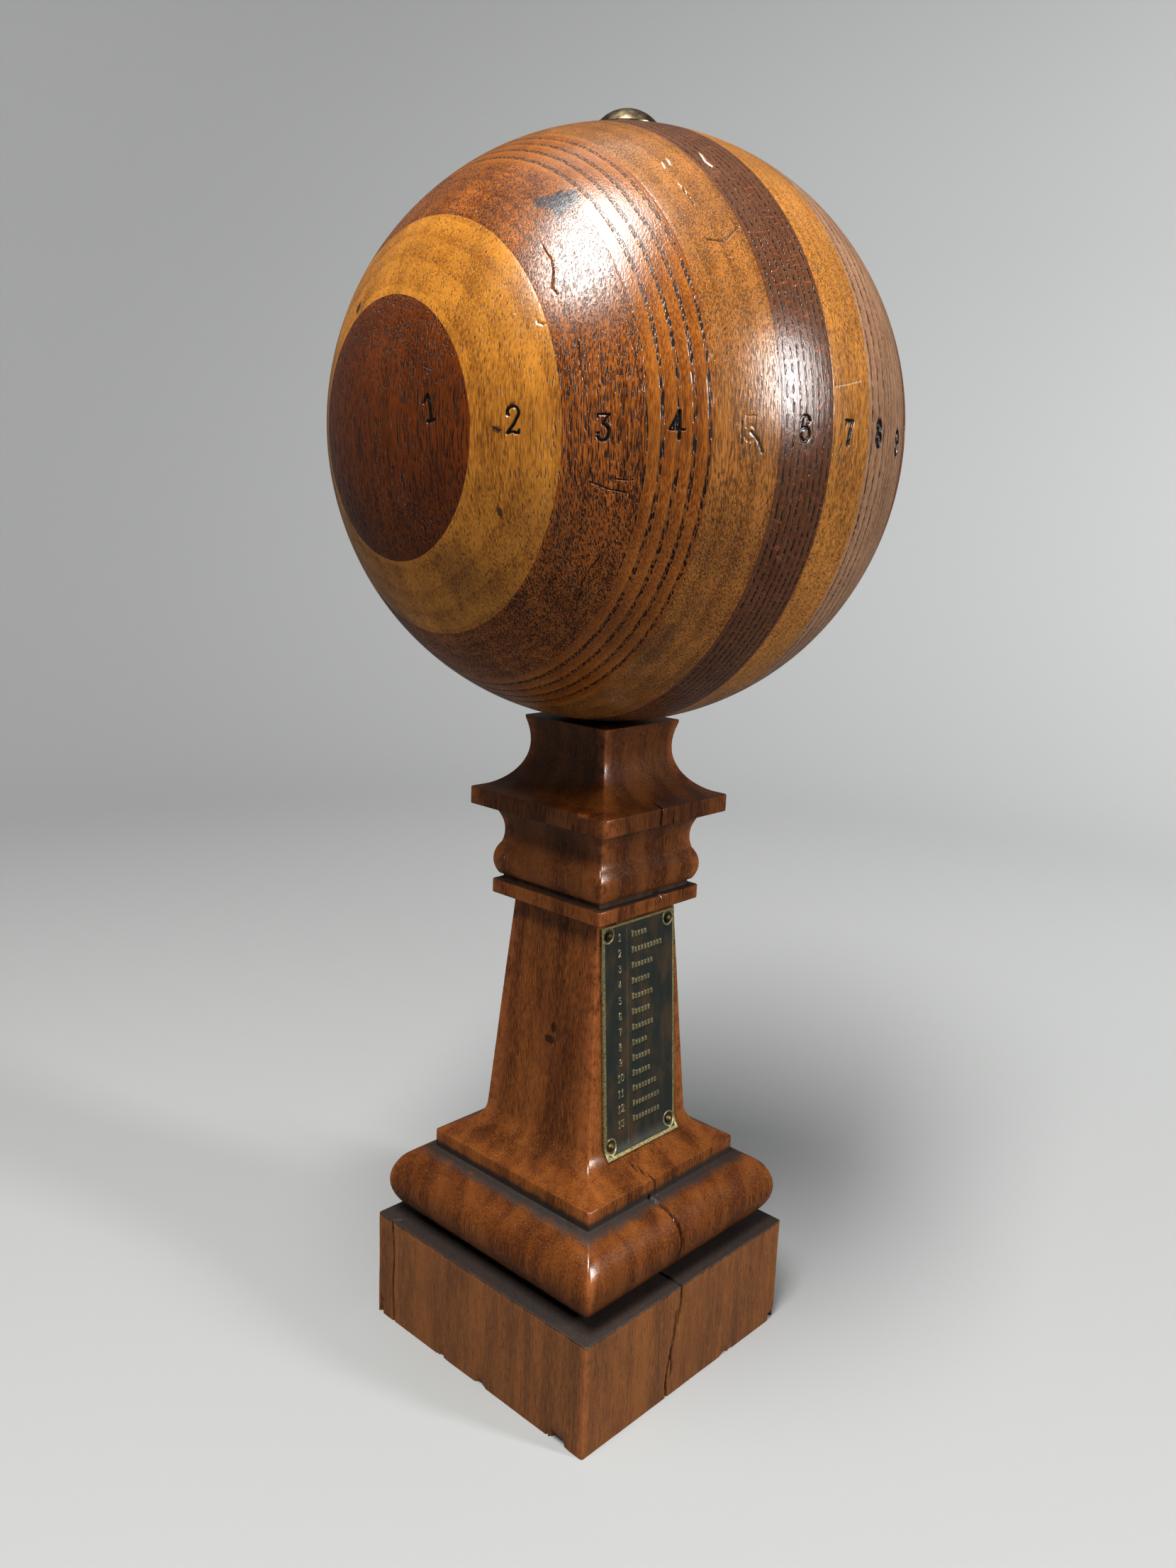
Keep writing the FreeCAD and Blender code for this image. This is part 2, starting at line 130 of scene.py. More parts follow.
def spaced(low, high, step, fine_zones, fine_step):
    """Rising values from low to high, closer together inside the fine zones."""
    marks = [low]
    while marks[-1] < high - 1e-9:
        in_zone = any(start - step < marks[-1] < end for start, end in fine_zones)
        marks.append(marks[-1] + (fine_step if in_zone else step))
    marks = np.array(marks)
    return low + (marks - low) * (high - low) / (marks[-1] - low)


def arc_points(start, end, radius, bulge, step):
    """Points from start to end along an arc that bulges to the right (1) or left (-1) of the way."""
    start = np.array(start, float)
    end = np.array(end, float)
    half = (end - start) / 2.0
    length = np.linalg.norm(half)
    left = np.array([-half[1], half[0]]) / length
    middle = start + half + left * bulge * sqrt(radius**2 - length**2)
    sweep = 2.0 * asin(length / radius) * bulge
    turns = np.linspace(0.0, sweep, max(int(ceil(abs(sweep) * radius / step)), 2) + 1)
    arm = start - middle
    side = np.array([-arm[1], arm[0]])
    return [middle + arm * cos(turn) + side * sin(turn) for turn in turns]


# --- Digits, as strokes of a stamping punch, in shares of the digit's height ---


def bow(centre, radii, start, end, steps=12):
    """Points along part of an ellipse, with angles in degrees."""
    turns = np.radians(np.linspace(start, end, steps))
    return [(centre[0] + radii[0] * cos(turn), centre[1] + radii[1] * sin(turn)) for turn in turns]


THICK = 0.085
MEDIUM = 0.065
THIN = 0.045
DIGITS = {
    "0": [(bow((0.0, 0.0), (0.24, 0.45), 0, 360, 28), MEDIUM)],
    "1": [
        ([(-0.2, 0.2), (0.0, 0.45), (0.05, 0.46)], THIN),
        ([(-0.1, 0.3), (0.02, 0.42)], THIN),
        ([(0.04, 0.43), (0.04, -0.42)], 0.08),
        ([(-0.11, -0.46), (0.18, -0.46)], MEDIUM),
    ],
    "2": [
        (bow((-0.16, 0.17), (0.03, 0.03), 0, 360, 8), 0.035),
        (bow((0.0, 0.24), (0.21, 0.22), 190, -25, 16), MEDIUM),
        ([(0.19, 0.15), (0.02, -0.14), (-0.2, -0.4)], MEDIUM),
        ([(-0.22, -0.43), (-0.08, -0.39), (0.2, -0.44)], 0.06),
        ([(0.2, -0.44), (0.22, -0.34)], THIN),
    ],
    "3": [
        ([(-0.2, 0.32), (-0.19, 0.43), (0.21, 0.43)], THIN),
        ([(0.21, 0.43), (-0.02, 0.1)], THIN),
        (bow((-0.01, -0.17), (0.2, 0.27), 88, -150, 16), MEDIUM),
        (bow((-0.18, -0.2), (0.03, 0.03), 0, 360, 8), 0.04),
    ],
    "4": [
        ([(0.06, 0.46), (-0.27, -0.16), (0.26, -0.16)], THIN),
        ([(0.08, 0.44), (0.08, -0.46)], 0.075),
        ([(0.0, 0.22), (-0.12, -0.08), (0.02, -0.08), (0.02, 0.1)], 0.075),
    ],
    "5": [
        ([(0.2, 0.42), (-0.16, 0.42), (-0.18, 0.04)], 0.04),
        (bow((-0.02, -0.16), (0.22, 0.26), 130, -150, 16), MEDIUM),
    ],
    "6": [
        (bow((0.0, 0.18), (0.2, 0.26), 20, 150, 10), MEDIUM),
        ([(-0.16, 0.32), (-0.22, 0.0), (-0.21, -0.2)], THICK),
        (bow((0.0, -0.2), (0.2, 0.24), 0, 360, 22), 0.06),
        (bow((0.14, 0.25), (0.03, 0.03), 0, 360, 8), 0.045),
    ],
    "7": [
        ([(-0.22, 0.28), (-0.21, 0.42), (0.23, 0.4)], MEDIUM),
        ([(0.22, 0.4), (0.08, 0.1)], 0.08),
        ([(0.08, 0.1), (0.0, -0.2), (-0.03, -0.42)], 0.1),
    ],
    "8": [
        (bow((0.0, 0.24), (0.15, 0.2), 0, 360, 20), 0.1),
        (bow((0.0, -0.21), (0.18, 0.24), 0, 360, 22), 0.1),
    ],
    "9": [
        (bow((0.0, 0.2), (0.19, 0.24), 0, 360, 22), 0.055),
        ([(0.2, 0.2), (0.21, -0.02), (0.14, -0.3)], THICK),
        (bow((0.0, -0.18), (0.19, 0.26), -20, -160, 10), MEDIUM),
    ],
}
DIGIT_ADVANCE = 0.62


def distance_to_strokes(x, y, strokes):
    """Distance to the nearest stroke's edge, negative inside it."""
    nearest = np.full(np.shape(x), 1e3)
    for points, half_width in strokes:
        for (x0, y0), (x1, y1) in zip(points, points[1:]):
            run_x = x1 - x0
            run_y = y1 - y0
            length_squared = run_x * run_x + run_y * run_y + 1e-12
            share = np.clip(((x - x0) * run_x + (y - y0) * run_y) / length_squared, 0.0, 1.0)
            gap = np.hypot(x - x0 - share * run_x, y - y0 - share * run_y) - half_width
            nearest = np.minimum(nearest, gap)
    return nearest


def number_strokes(number):
    """The strokes of a one- or two-digit number, centred."""
    digits = str(number)
    strokes = []
    for place, digit in enumerate(digits):
        shift = (place - (len(digits) - 1) / 2.0) * DIGIT_ADVANCE
        for points, half_width in DIGITS[digit]:
            strokes.append(([(x + shift, y) for x, y in points], half_width))
    return strokes


# --- Node helpers ---


def linear(red, green, blue):
    """A shader colour from everyday 0 to 255 values."""
    channels = []
    for value in (red, green, blue):
        share = value / 255.0
        channels.append(share / 12.92 if share <= 0.04045 else ((share + 0.055) / 1.055) ** 2.4)
    return (*channels, 1.0)


class Shader:
    """A material's node tree, with short ways to add and join nodes."""

    def __init__(self, name):
        self.material = bpy.data.materials.new(name)
        self.material.use_nodes = True
        self.tree = self.material.node_tree
        self.tree.nodes.clear()
        self.surface = self.tree.nodes.new("ShaderNodeBsdfPrincipled")
        output = self.tree.nodes.new("ShaderNodeOutputMaterial")
        self.tree.links.new(self.surface.outputs["BSDF"], output.inputs["Surface"])

    def put(self, socket, value):
        """Join a node's output to the socket, or set the socket to a plain value, if there is one."""
        if isinstance(value, bpy.types.NodeSocket):
            self.tree.links.new(value, socket)
        elif value is not None:
            socket.default_value = value

    def node(self, kind, inputs, **settings):
        """The outputs of a new node with these inputs and settings."""
        made = self.tree.nodes.new(f"ShaderNode{kind}")
        for name, value in settings.items():
            setattr(made, name, value)
        for name, value in inputs.items():
            self.put(made.inputs[name], value)
        return made.outputs

    def math(self, operation, *values, clamp=False):
        return self.node("Math", dict(enumerate(values)), operation=operation, use_clamp=clamp)[0]

    def times(self, first, second):
        return self.math("MULTIPLY", first, second)

    def varied(self, base, value, strength, middle=0.5, clamp=False):
        """The base, moved by how far the value is from its middle."""
        away = self.math("SUBTRACT", value, middle)
        return self.math("MULTIPLY_ADD", away, strength, base, clamp=clamp)

    def step(self, value, start, end):
        """0 up to start and 1 from end, smoothly; it falls if end is below start."""
        inputs = {"Value": value, "From Min": min(start, end), "From Max": max(start, end)}
        inputs["To Min"], inputs["To Max"] = (0.0, 1.0) if start < end else (1.0, 0.0)
        return self.node("MapRange", inputs, interpolation_type="SMOOTHSTEP")["Result"]

    def vector(self, operation, first, second):
        outputs = self.node("VectorMath", {0: first, 1: second}, operation=operation)
        return outputs["Value" if operation == "DISTANCE" else "Vector"]

    def scaled(self, place, factors):
        return self.vector("MULTIPLY", place, factors)

    def moved(self, place, shift):
        return self.vector("ADD", place, shift)

    def split(self, vector):
        return tuple(self.node("SeparateXYZ", {0: vector}))

    def noise(self, place, rates, detail=3.0, roughness=0.5, distortion=0.0):
        """A cloudy number about 0.5, with this many changes per mm along each axis, or along all."""
        rates = (rates,) * 3 if isinstance(rates, float) else rates
        inputs = {"Vector": self.scaled(place, rates), "Scale": 1.0, "Detail": detail}
        inputs.update({"Roughness": roughness, "Distortion": distortion})
        return self.node("TexNoise", inputs)["Fac"]

    def cells(self, place):
        """Distance to the nearest cell's middle, and that cell's own random number."""
        outputs = self.node("TexVoronoi", {"Vector": place, "Scale": 1.0})
        return outputs["Distance"], self.split(outputs["Color"])[0]

    def mix(self, share, first, second):
        return self.node("Mix", {0: share, 6: first, 7: second}, data_type="RGBA")[2]

    def stained(self, colour, share, tint, strength=1.0):
        """The colour, taken towards a tint of everyday 0 to 255 values by a share of the strength."""
        if strength != 1.0:
            share = self.times(share, strength)
        return self.mix(share, colour, linear(*tint))

    def layer(self, name):
        """A number that the mesh holds at each of its points."""
        return self.node("Attribute", {}, attribute_name=name)["Fac"]

    def place(self):
        """Millimetres in the frame."""
        return self.scaled(self.node("TexCoord", {})["Object"], (1 / MM,) * 3)

    def blot(self, place, centre, radii, ragged=0.35, wavelength=2.0):
        """1 inside an ellipsoid with a ragged outline, 0 outside it."""
        from_centre = self.moved(place, [-value for value in centre])
        reach = self.vector("DISTANCE", self.scaled(from_centre, [1 / radius for radius in radii]), (0, 0, 0))
        wobble = self.noise(place, 1 / wavelength, detail=4.0, roughness=0.65)
        return self.step(self.varied(reach, wobble, 4.0 * ragged), 1.1, 0.8)

    def bump(self, height, distance, strength, under=None):
        inputs = {"Strength": strength, "Distance": distance, "Height": height, "Normal": under}
        return self.node("Bump", inputs)["Normal"]

    def finish(self, colour, roughness, normal=None, metallic=0.0, specular=0.5):
        inputs = {"Base Color": colour, "Roughness": roughness, "Metallic": metallic}
        inputs.update({"Specular IOR Level": specular, "Normal": normal})
        for name, value in inputs.items():
            self.put(self.surface.inputs[name], value)
        return self.material


# --- Wood ---

# early and late: the two tones of a year's ring. ring: its width in mm; start: where one begins,
# in mm; contrast: how much it shows; bend: how far the rings bow across the ball, in mm; sway: how
# far they wander, in mm. pore, length: a pore's width and length in mm; share: how many of the
# cells hold one; spring: the share of the ring, from its start, where they lie; black: how dark
# they are. dash: strength of the short fine lines; streak: of the long soft ones; fleck: of the
# ray flecks.
Timber = namedtuple(
    "Timber",
    "early late ring start contrast bend sway pore length share spring black dash streak fleck",
)
TIMBERS = {
    "walnut": Timber(
        (104, 50, 10), (48, 20, 3), 5.0, 0, 0.15, 3, 3.0, 0.36, 7.0, 0.45, 1.0, 0.9, 0.5, 0.55, 0.0
    ),
    "chestnut": Timber(
        (176, 119, 44), (116, 70, 20), 4.6, 0, 0.24, 6, 5.0, 0.36, 4.2, 0.14, 1.0, 0.6, 0.6, 0.8, 0.25
    ),
    "robinia": Timber(
        (148, 86, 31), (56, 22, 4), 3.4, 0, 0.2, 3, 1.6, 0.4, 4.2, 0.55, 1.0, 0.85, 0.7, 0.65, 0.0
    ),
    "ash": Timber(
        (154, 94, 34), (100, 52, 12), 3.75, 1.0, 0.4, 2, 0.5, 0.62, 5.0, 0.98, 0.34, 1.0, 0.7, 0.5, 0.0
    ),
    "lime": Timber(
        (152, 100, 46), (96, 58, 20), 7.0, 0, 0.3, 4, 3.0, 0.34, 5.0, 0.4, 1.0, 0.5, 0.9, 0.7, 0.2
    ),
    "oak": Timber(
        (106, 70, 46), (64, 34, 19), 2.35, 0.8, 0.3, 1, 0.4, 0.66, 3.2, 0.98, 0.38, 1.0, 0.4, 0.35, 0.6
    ),
    "hornbeam": Timber(
        (176, 120, 54), (116, 72, 26), 4.0, 0, 0.25, 3, 2.0, 0.4, 2.6, 0.35, 1.0, 0.5, 1.0, 0.5, 0.3
    ),
    "elm": Timber(
        (168, 130, 100), (118, 84, 62), 4.2, 0, 0.3, 2, 0.8, 0.5, 4.0, 0.9, 0.3, 0.9, 0.6, 0.4, 0.1
    ),
    "fir": Timber(
        (172, 134, 102), (126, 90, 64), 3.4, 0, 0.6, 2, 1.0, 0.4, 4.0, 0.7, 0.3, 0.6, 0.5, 0.5, 0.0
    ),
    "larch": Timber(
        (158, 94, 42), (92, 44, 15), 2.8, 0, 0.95, 2, 1.2, 0.3, 2.0, 0.1, 1.0, 0.3, 0.5, 0.5, 0.0
    ),
    "cherry": Timber(
        (142, 76, 34), (106, 50, 21), 4.5, 0, 0.45, 4, 2.5, 0.35, 2.0, 0.35, 1.0, 0.5, 0.6, 0.5, 0.35
    ),
    "poplar": Timber(
        (192, 144, 76), (158, 108, 50), 5.5, 0, 0.4, 4, 3.0, 0.35, 2.5, 0.25, 1.0, 0.4, 0.6, 0.5, 0.1
    ),
    "pear": Timber((144, 84, 48), (114, 60, 33), 5.0, 0, 0.3, 4, 3.0, 0.3, 1.5, 0.2, 1.0, 0.4, 0.5, 0.4, 0.1),
    "pedestal": Timber(
        (124, 74, 30), (68, 34, 11), 17.0, 0, 0.25, 6, 11.0, 0.3, 1.3, 0.1, 1.0, 0.35, 0.6, 1.2, 0.1
    ),
}
PORE_TINT = (20, 12, 9)
INK_TINT = (13, 11, 11)
VARNISH = 0.62
# Near-black for dirt and painted shade in the pedestal's hollows.
GRIME_AND_SHADE_TINT = (20, 15, 13)


def grow_wood(shader, place, timber, seed):
    """Colour, height and pores of solid wood; its rings cross the first coordinate, in mm, and its
    fibres run along the third."""
    across, outward, _ = shader.split(place)
    shifted = shader.moved(place, (seed * 37.0, seed * 53.0, seed * 71.0))
    sway = shader.noise(shifted, (0.02, 0.02, 0.008), detail=2.0)
    bow_out = shader.times(shader.times(outward, outward), timber.bend / 99.0**2)
    depth = shader.math("ADD", across, bow_out)
    depth = shader.varied(depth, sway, timber.sway * 2.0)
    from_ring = shader.math("ADD", depth, 300.0 - timber.start)
    ring = shader.math("FRACT", shader.math("DIVIDE", from_ring, timber.ring))
    late = shader.times(shader.step(ring, 0.25, 0.92), shader.step(ring, 1.0, 0.94))
    fibre = shader.noise(shifted, (2.2, 2.2, 0.07), detail=3.0, roughness=0.6)
    dash = shader.noise(shifted, (3.2, 3.2, 0.24), detail=2.0, roughness=0.6, distortion=0.3)
    broad = shader.noise(shifted, (0.12, 0.12, 0.012), detail=3.0)
    tone = shader.times(late, timber.contrast)
    tone = shader.varied(tone, fibre, timber.streak * 1.6, 0.45)
    tone = shader.varied(tone, broad, timber.streak * 1.8)
    tone = shader.varied(tone, dash, timber.dash * 4.5)
    tone = shader.math("ADD", tone, 0.25, clamp=True)
    colour = shader.mix(tone, linear(*timber.early), linear(*timber.late))

    wander = shader.noise(shifted, (0.25, 0.25, 0.12), detail=2.0)
    aside = shader.node("CombineXYZ", {0: shader.times(wander, 2.2), 1: 0.0, 2: 0.0})[0]
    pore_rates = (1 / timber.pore, 1 / timber.pore, 1 / timber.length)
    pore_place = shader.scaled(shader.moved(shifted, aside), pore_rates)
    gap, chance = shader.cells(pore_place)
    pores = shader.step(gap, 0.6, 0.4)
    pores = shader.times(pores, shader.step(chance, 1 - timber.share, 1.04 - timber.share))
    if timber.spring < 1.0:
        ring_start = shader.step(ring, timber.spring, timber.spring * 0.7)
        band = shader.times(ring_start, shader.step(dash, 0.62, 0.4))
        colour = shader.stained(colour, band, PORE_TINT, 0.6 * timber.black)
        pores = shader.times(pores, shader.math("MAXIMUM", ring_start, 0.1))
    colour = shader.stained(colour, pores, PORE_TINT, timber.black)

    if timber.fleck > 0.0:
        ray = shader.noise(shifted, (0.16, 2.0, 0.5), detail=2.0)
        fleck = shader.times(shader.step(ray, 0.6, 0.72), timber.fleck)
        colour = shader.mix(fleck, colour, shader.mix(0.35, linear(*timber.early), linear(190, 90, 50)))
    height = shader.math("MULTIPLY_ADD", fibre, 0.3, shader.times(pores, -1.0))
    height = shader.math("MULTIPLY_ADD", dash, 0.25, height)
    return colour, height, pores


def board_place(shader):
    """Millimetres along the lamination axis, outwards to the numerals, and up along the fibres."""
    turn = Matrix([list(ACROSS), list(OUTWARD), list(UPWARD)])
    inputs = {"Vector": shader.place(), "Location": -(turn @ Vector(BALL_CENTRE)) / MM}
    inputs["Rotation"] = turn.to_euler("XYZ")
    return shader.node("Mapping", inputs)["Vector"]


def on_ball(along, angle):
    """A place on the ball's skin, in mm along its axis, outwards and up, by degrees round the axis."""
    reach = sqrt((BALL_RADIUS / MM) ** 2 - along**2)
    return along, reach * cos(radians(angle)), reach * sin(radians(angle))


# Dark marks on the boards: stains in the varnish, one soft painted shade low on the lime board and one large
# faint darkening low on the chestnut board. Each: board, mm along the axis, degrees round it, and size in mm
# along the axis, outwards and up.
Stain = namedtuple("Stain", "board along angle size dark")
STAINS_AND_SHADE = (
    Stain(3, 62.4, 53.8, (5.2, 4.5, 4.5), 0.95),
    Stain(4, 62.4, 53.8, (5.2, 4.5, 4.5), 0.95),
    Stain(3, 65.6, 57.0, (2.8, 2.8, 2.4), 0.85),
    Stain(2, 87.3, -0.4, (1.5, 1.2, 0.9), 0.6),
    Stain(2, 85.2, -27.0, (0.9, 0.9, 1.3), 0.8),
    Stain(2, 89.3, 119.0, (1.6, 1.6, 2.2), 0.9),
    # A large faint darkening low on the chestnut board.
    Stain(2, 86.0, -60.0, (6.0, 9.0, 14.0), 0.22),
    # Painted shade: the soft dark low on the lime board, beside the ash.
    Stain(5, 41.0, -44.0, (4.5, 9.0, 14.0), 0.3),
    Stain(8, -18.6, -63.6, (1.4, 1.4, 2.0), 0.8),
)


def board_material(number, species):
    """Old varnished wood of one board, with ink in its stamped number and dirt in its cracks."""
    shader = Shader(f"wood_{species}")
    place = board_place(shader)
    colour, height, pores = grow_wood(shader, place, TIMBERS[species], number)
    mottle = shader.noise(place, 0.045, detail=4.0, roughness=0.6)
    colour = shader.mix(shader.step(mottle, 0.35, 0.7), shader.mix(0.25, colour, linear(50, 24, 10)), colour)
    # Stains, and on the lime board a painted shade.
    for stain_or_shade in STAINS_AND_SHADE:
        if stain_or_shade.board == number:
            blot = shader.blot(place, on_ball(stain_or_shade.along, stain_or_shade.angle), stain_or_shade.size, 0.5)
            colour = shader.stained(colour, blot, (26, 25, 29), stain_or_shade.dark)
    ink = shader.layer("ink")
    colour = shader.stained(colour, ink, INK_TINT)
    # Pale chips and scratches; on the oak board one pale mark is a painted glint.
    colour = shader.mix(shader.layer("pale"), colour, linear(214, 196, 176))
    rubbed = shader.noise(place, 0.3, detail=5.0, roughness=0.7)
    roughness = shader.math("MULTIPLY_ADD", rubbed, 0.2, 0.13)
    roughness = shader.math("MULTIPLY_ADD", pores, 0.1, roughness)
    skin = shader.noise(place, 0.9, detail=4.0, roughness=0.7)
    normal = shader.bump(skin, 0.1 * MM, strength=0.6)
    normal = shader.bump(height, 0.15 * MM, strength=0.8, under=normal)
    return shader.finish(colour, roughness, normal, specular=VARNISH)


# --- The ball ---

DIGIT_HEIGHT = 8.0 * MM
STAMP_DEPTH = 0.5 * MM
FINE = 0.2 * MM
MARK_STEP = 0.3 * MM
ROW_STEP = 1.0 * MM
COLUMN_STEP = 1.4 * MM
EDGE_EASE = 0.2 * MM
EDGE_DROP = 0.03 * MM
WARP = 0.05 * MM
POLE_GAP = 0.004
RUNNING_GAP = 0.1 * MM

# Where each number is stamped: mm along the lamination axis, degrees round it, how much of the
# punch's depth and ink is left, and how far the ink has spread, in mm.
Stamp = namedtuple("Stamp", "along angle depth ink spread", defaults=(0.0,))
STAMPS = {
    1: Stamp(95.5, 12.9, 1.0, 1.0),
    2: Stamp(84.9, 2.4, 0.9, 1.0),
    3: Stamp(69.2, 0.2, 0.8, 1.0),
    4: Stamp(53.2, 0.8, 1.1, 1.0),
    5: Stamp(33.8, 0.4, 0.15, 0.2),
    6: Stamp(15.6, 0.6, 1.3, 1.0),
    7: Stamp(-3.0, 0.3, 0.7, 1.0, 0.1),
    8: Stamp(-20.6, 0.5, 0.8, 1.0, 0.25),
    9: Stamp(-37.4, -0.9, 0.8, 1.0, 0.42),
    10: Stamp(-53.2, 0.5, 1.0, 0.95),
    11: Stamp(-67.8, 0.2, 0.9, 0.9),
    12: Stamp(-82.4, 0.6, 1.0, 0.95),
    13: Stamp(-95.2, 2.0, 1.0, 0.95),
}
# Cracks, scratches and knocks: board, points as mm along the axis and degrees round it, then
# width and depth in mm and how dark they are.
Score = namedtuple("Score", "board points width depth ink")
SCORES = (
    Score(3, ((71.7, 45.4), (71.6, 41.5), (72.3, 38.3), (73.9, 34.2), (73.4, 32.2)), 0.4, 0.3, 0.6),
    Score(3, ((65.4, -40.3), (66.5, -36.0), (66.4, -31.6), (65.3, -28.5)), 0.4, 0.3, 0.9),
    Score(3, ((71.0, -12.0), (67.0, -12.9), (63.1, -13.0)), 0.5, 0.3, 0.9),
    Score(3, ((66.5, -10.6), (62.2, -10.3)), 0.4, 0.3, 0.8),
    Score(3, ((72.3, 19.4), (72.8, 13.5), (72.3, 9.8)), 0.5, 0.25, 0.7),
    Score(2, ((78.7, 27.8), (77.4, 26.2)), 0.4, 0.3, 0.6),
    Score(2, ((87.9, 0.4), (87.0, -0.9)), 0.8, 0.1, 0.8),
    Score(5, ((36.3, 33.9), (31.7, 33.0), (24.9, 35.8)), 0.7, 0.35, 0.5),
    Score(5, ((34.9, 46.6), (34.6, 44.0), (34.9, 41.2)), 0.4, 0.3, 0.9),
    Score(5, ((34.6, 51.8), (33.9, 53.4)), 0.6, 0.2, -1.0),
    Score(5, ((32.2, 52.4), (31.6, 53.8)), 0.6, 0.2, -1.0),
    Score(5, ((36.4, 1.4), (36.2, -2.4)), 0.7, 0.1, 0.8),
    Score(5, ((33.6, -0.2), (31.4, -1.6), (29.9, -3.4)), 1.4, 0.12, 0.85),
    # A dent at the oak's top; its pale colour is a painted glint.
    Score(6, ((19.0, 54.6), (20.3, 52.0), (19.8, 50.5)), 0.9, 0.3, -0.6),
    Score(7, ((4.0, 7.5), (-3.0, 8.2), (-9.0, 8.9)), 0.35, 0.1, -0.5),
    Score(8, ((-18.4, -63.0), (-18.9, -64.4)), 0.9, 0.6, 0.9),
)


def ball_points(along, turn):
    """Points of the ball by distance along its axis and angle round it from the numerals."""
    reach = np.sqrt(np.maximum(BALL_RADIUS**2 - along**2, 0.0))
    side = np.outer(reach * np.cos(turn), OUTWARD) + np.outer(reach * np.sin(turn), UPWARD)
    return BALL_CENTRE + np.outer(along, ACROSS) + side


def stamp_fields(number, along, turn):
    """How deep the number's punch went in at each point, and how much ink it holds, from 0 to 1."""
    stamp = STAMPS[number]
    reach = np.sqrt(np.maximum(BALL_RADIUS**2 - along**2, 0.0))
    polar = np.arccos(np.clip(along / BALL_RADIUS, -1.0, 1.0))
    x = (polar - acos(stamp.along * MM / BALL_RADIUS)) * BALL_RADIUS / DIGIT_HEIGHT
    y = (turn - radians(stamp.angle)) * reach / DIGIT_HEIGHT
    near = (np.abs(x) < 1.0) & (np.abs(y) < 0.8) & (np.abs(turn) < 1.2)
    sink = np.zeros(len(along))
    ink = np.zeros(len(along))
    gap = distance_to_strokes(x[near], y[near], number_strokes(number))
    sink[near] = 1.0 - smooth_step(gap, -0.03, 0.012)
    spread = stamp.spread * MM / DIGIT_HEIGHT
    ink[near] = 1.0 - smooth_step(gap - spread, -0.03, 0.012)
    return sink * stamp.depth, ink * stamp.ink


def score_field(score, along, turn):
    """How deep a crack goes at each point, from 0 to 1."""
    points = [(place * MM, radians(angle)) for place, angle in score.points]
    middle = np.mean([place for place, _ in points])
    level = sqrt(BALL_RADIUS**2 - middle**2)
    stretch = BALL_RADIUS / level
    x = (along - middle) / MM * stretch
    y = turn * level / MM
    path = [((place - middle) / MM * stretch, angle * level / MM) for place, angle in points]
    gap = distance_to_strokes(x, y, [(path, 0.0)])
    return 1.0 - smooth_step(gap, 0.15 * score.width, 0.6 * score.width)


def marks_on(number):
    return [score for score in SCORES if score.board == number]


def zone_round(angles, score, radius):
    """The stretch of angles that a mark covers, with a little to spare."""
    spare = 0.7 * score.width * MM / radius
    return min(angles) - spare, max(angles) + spare


def board_rows(number, low, high):
    """Polar angles of a board's rows of points, closer where there is detail."""
    stamp = STAMPS[number]
    half_width = 0.5 * DIGIT_ADVANCE * len(str(number)) if number > 9 else 0.34
    half = half_width * DIGIT_HEIGHT / BALL_RADIUS
    place = acos(stamp.along * MM / BALL_RADIUS)
    fine_zones = [(place - half, place + half)]
    mark_zones = []
    for score in marks_on(number):
        places = [acos(along * MM / BALL_RADIUS) for along, _ in score.points]
        mark_zones.append(zone_round(places, score, BALL_RADIUS))
    start = acos(min(high / BALL_RADIUS, 1.0))
    end = acos(max(low / BALL_RADIUS, -1.0))
    return graded(start, end, ROW_STEP / BALL_RADIUS, fine_zones, mark_zones, BALL_RADIUS)


def graded(start, end, step, fine_zones, mark_zones, radius):
    """Rising angles with FINE spacing at numbers and MARK_STEP spacing at marks."""
    coarse = spaced(start, end, step, mark_zones, MARK_STEP / radius)
    fine = spaced(start, end, step, fine_zones, FINE / radius)
    fine_only = [value for value in fine if any(a <= value <= b for a, b in fine_zones)]
    rest = [value for value in coarse if not any(a <= value <= b for a, b in fine_zones)]
    return np.array(sorted(fine_only + rest))


def with_eased_ends(polar, eased_start, eased_end):
    """The rows with extra ones close to each glued edge, where the edge is eased."""
    ease = EDGE_EASE / BALL_RADIUS
    start, end = polar[0], polar[-1]
    inner = polar
    if eased_start:
        inner = np.concatenate([[start, start + ease / 2], inner[inner > start + ease]])
    if eased_end:
        inner = np.concatenate([inner[inner < end - ease], [end - ease / 2, end]])
    return inner


def board_columns(number, low, high):
    """Angles round the axis for a board's columns of points, closer at the number and marks."""
    widest = BALL_RADIUS if low < 0.0 < high else sqrt(BALL_RADIUS**2 - min(abs(low), abs(high)) ** 2)
    stamp = STAMPS[number]
    reach = sqrt(BALL_RADIUS**2 - (stamp.along * MM) ** 2)
    half = 0.56 * DIGIT_HEIGHT / reach
    fine_zones = [(radians(stamp.angle) - half, radians(stamp.angle) + half)]
    mark_zones = []
    for score in marks_on(number):
        angles = [radians(angle) for _, angle in score.points]
        mark_zones.append(zone_round(angles, score, widest))
    return graded(-pi, pi, COLUMN_STEP / widest, fine_zones, mark_zones, reach)[:-1]


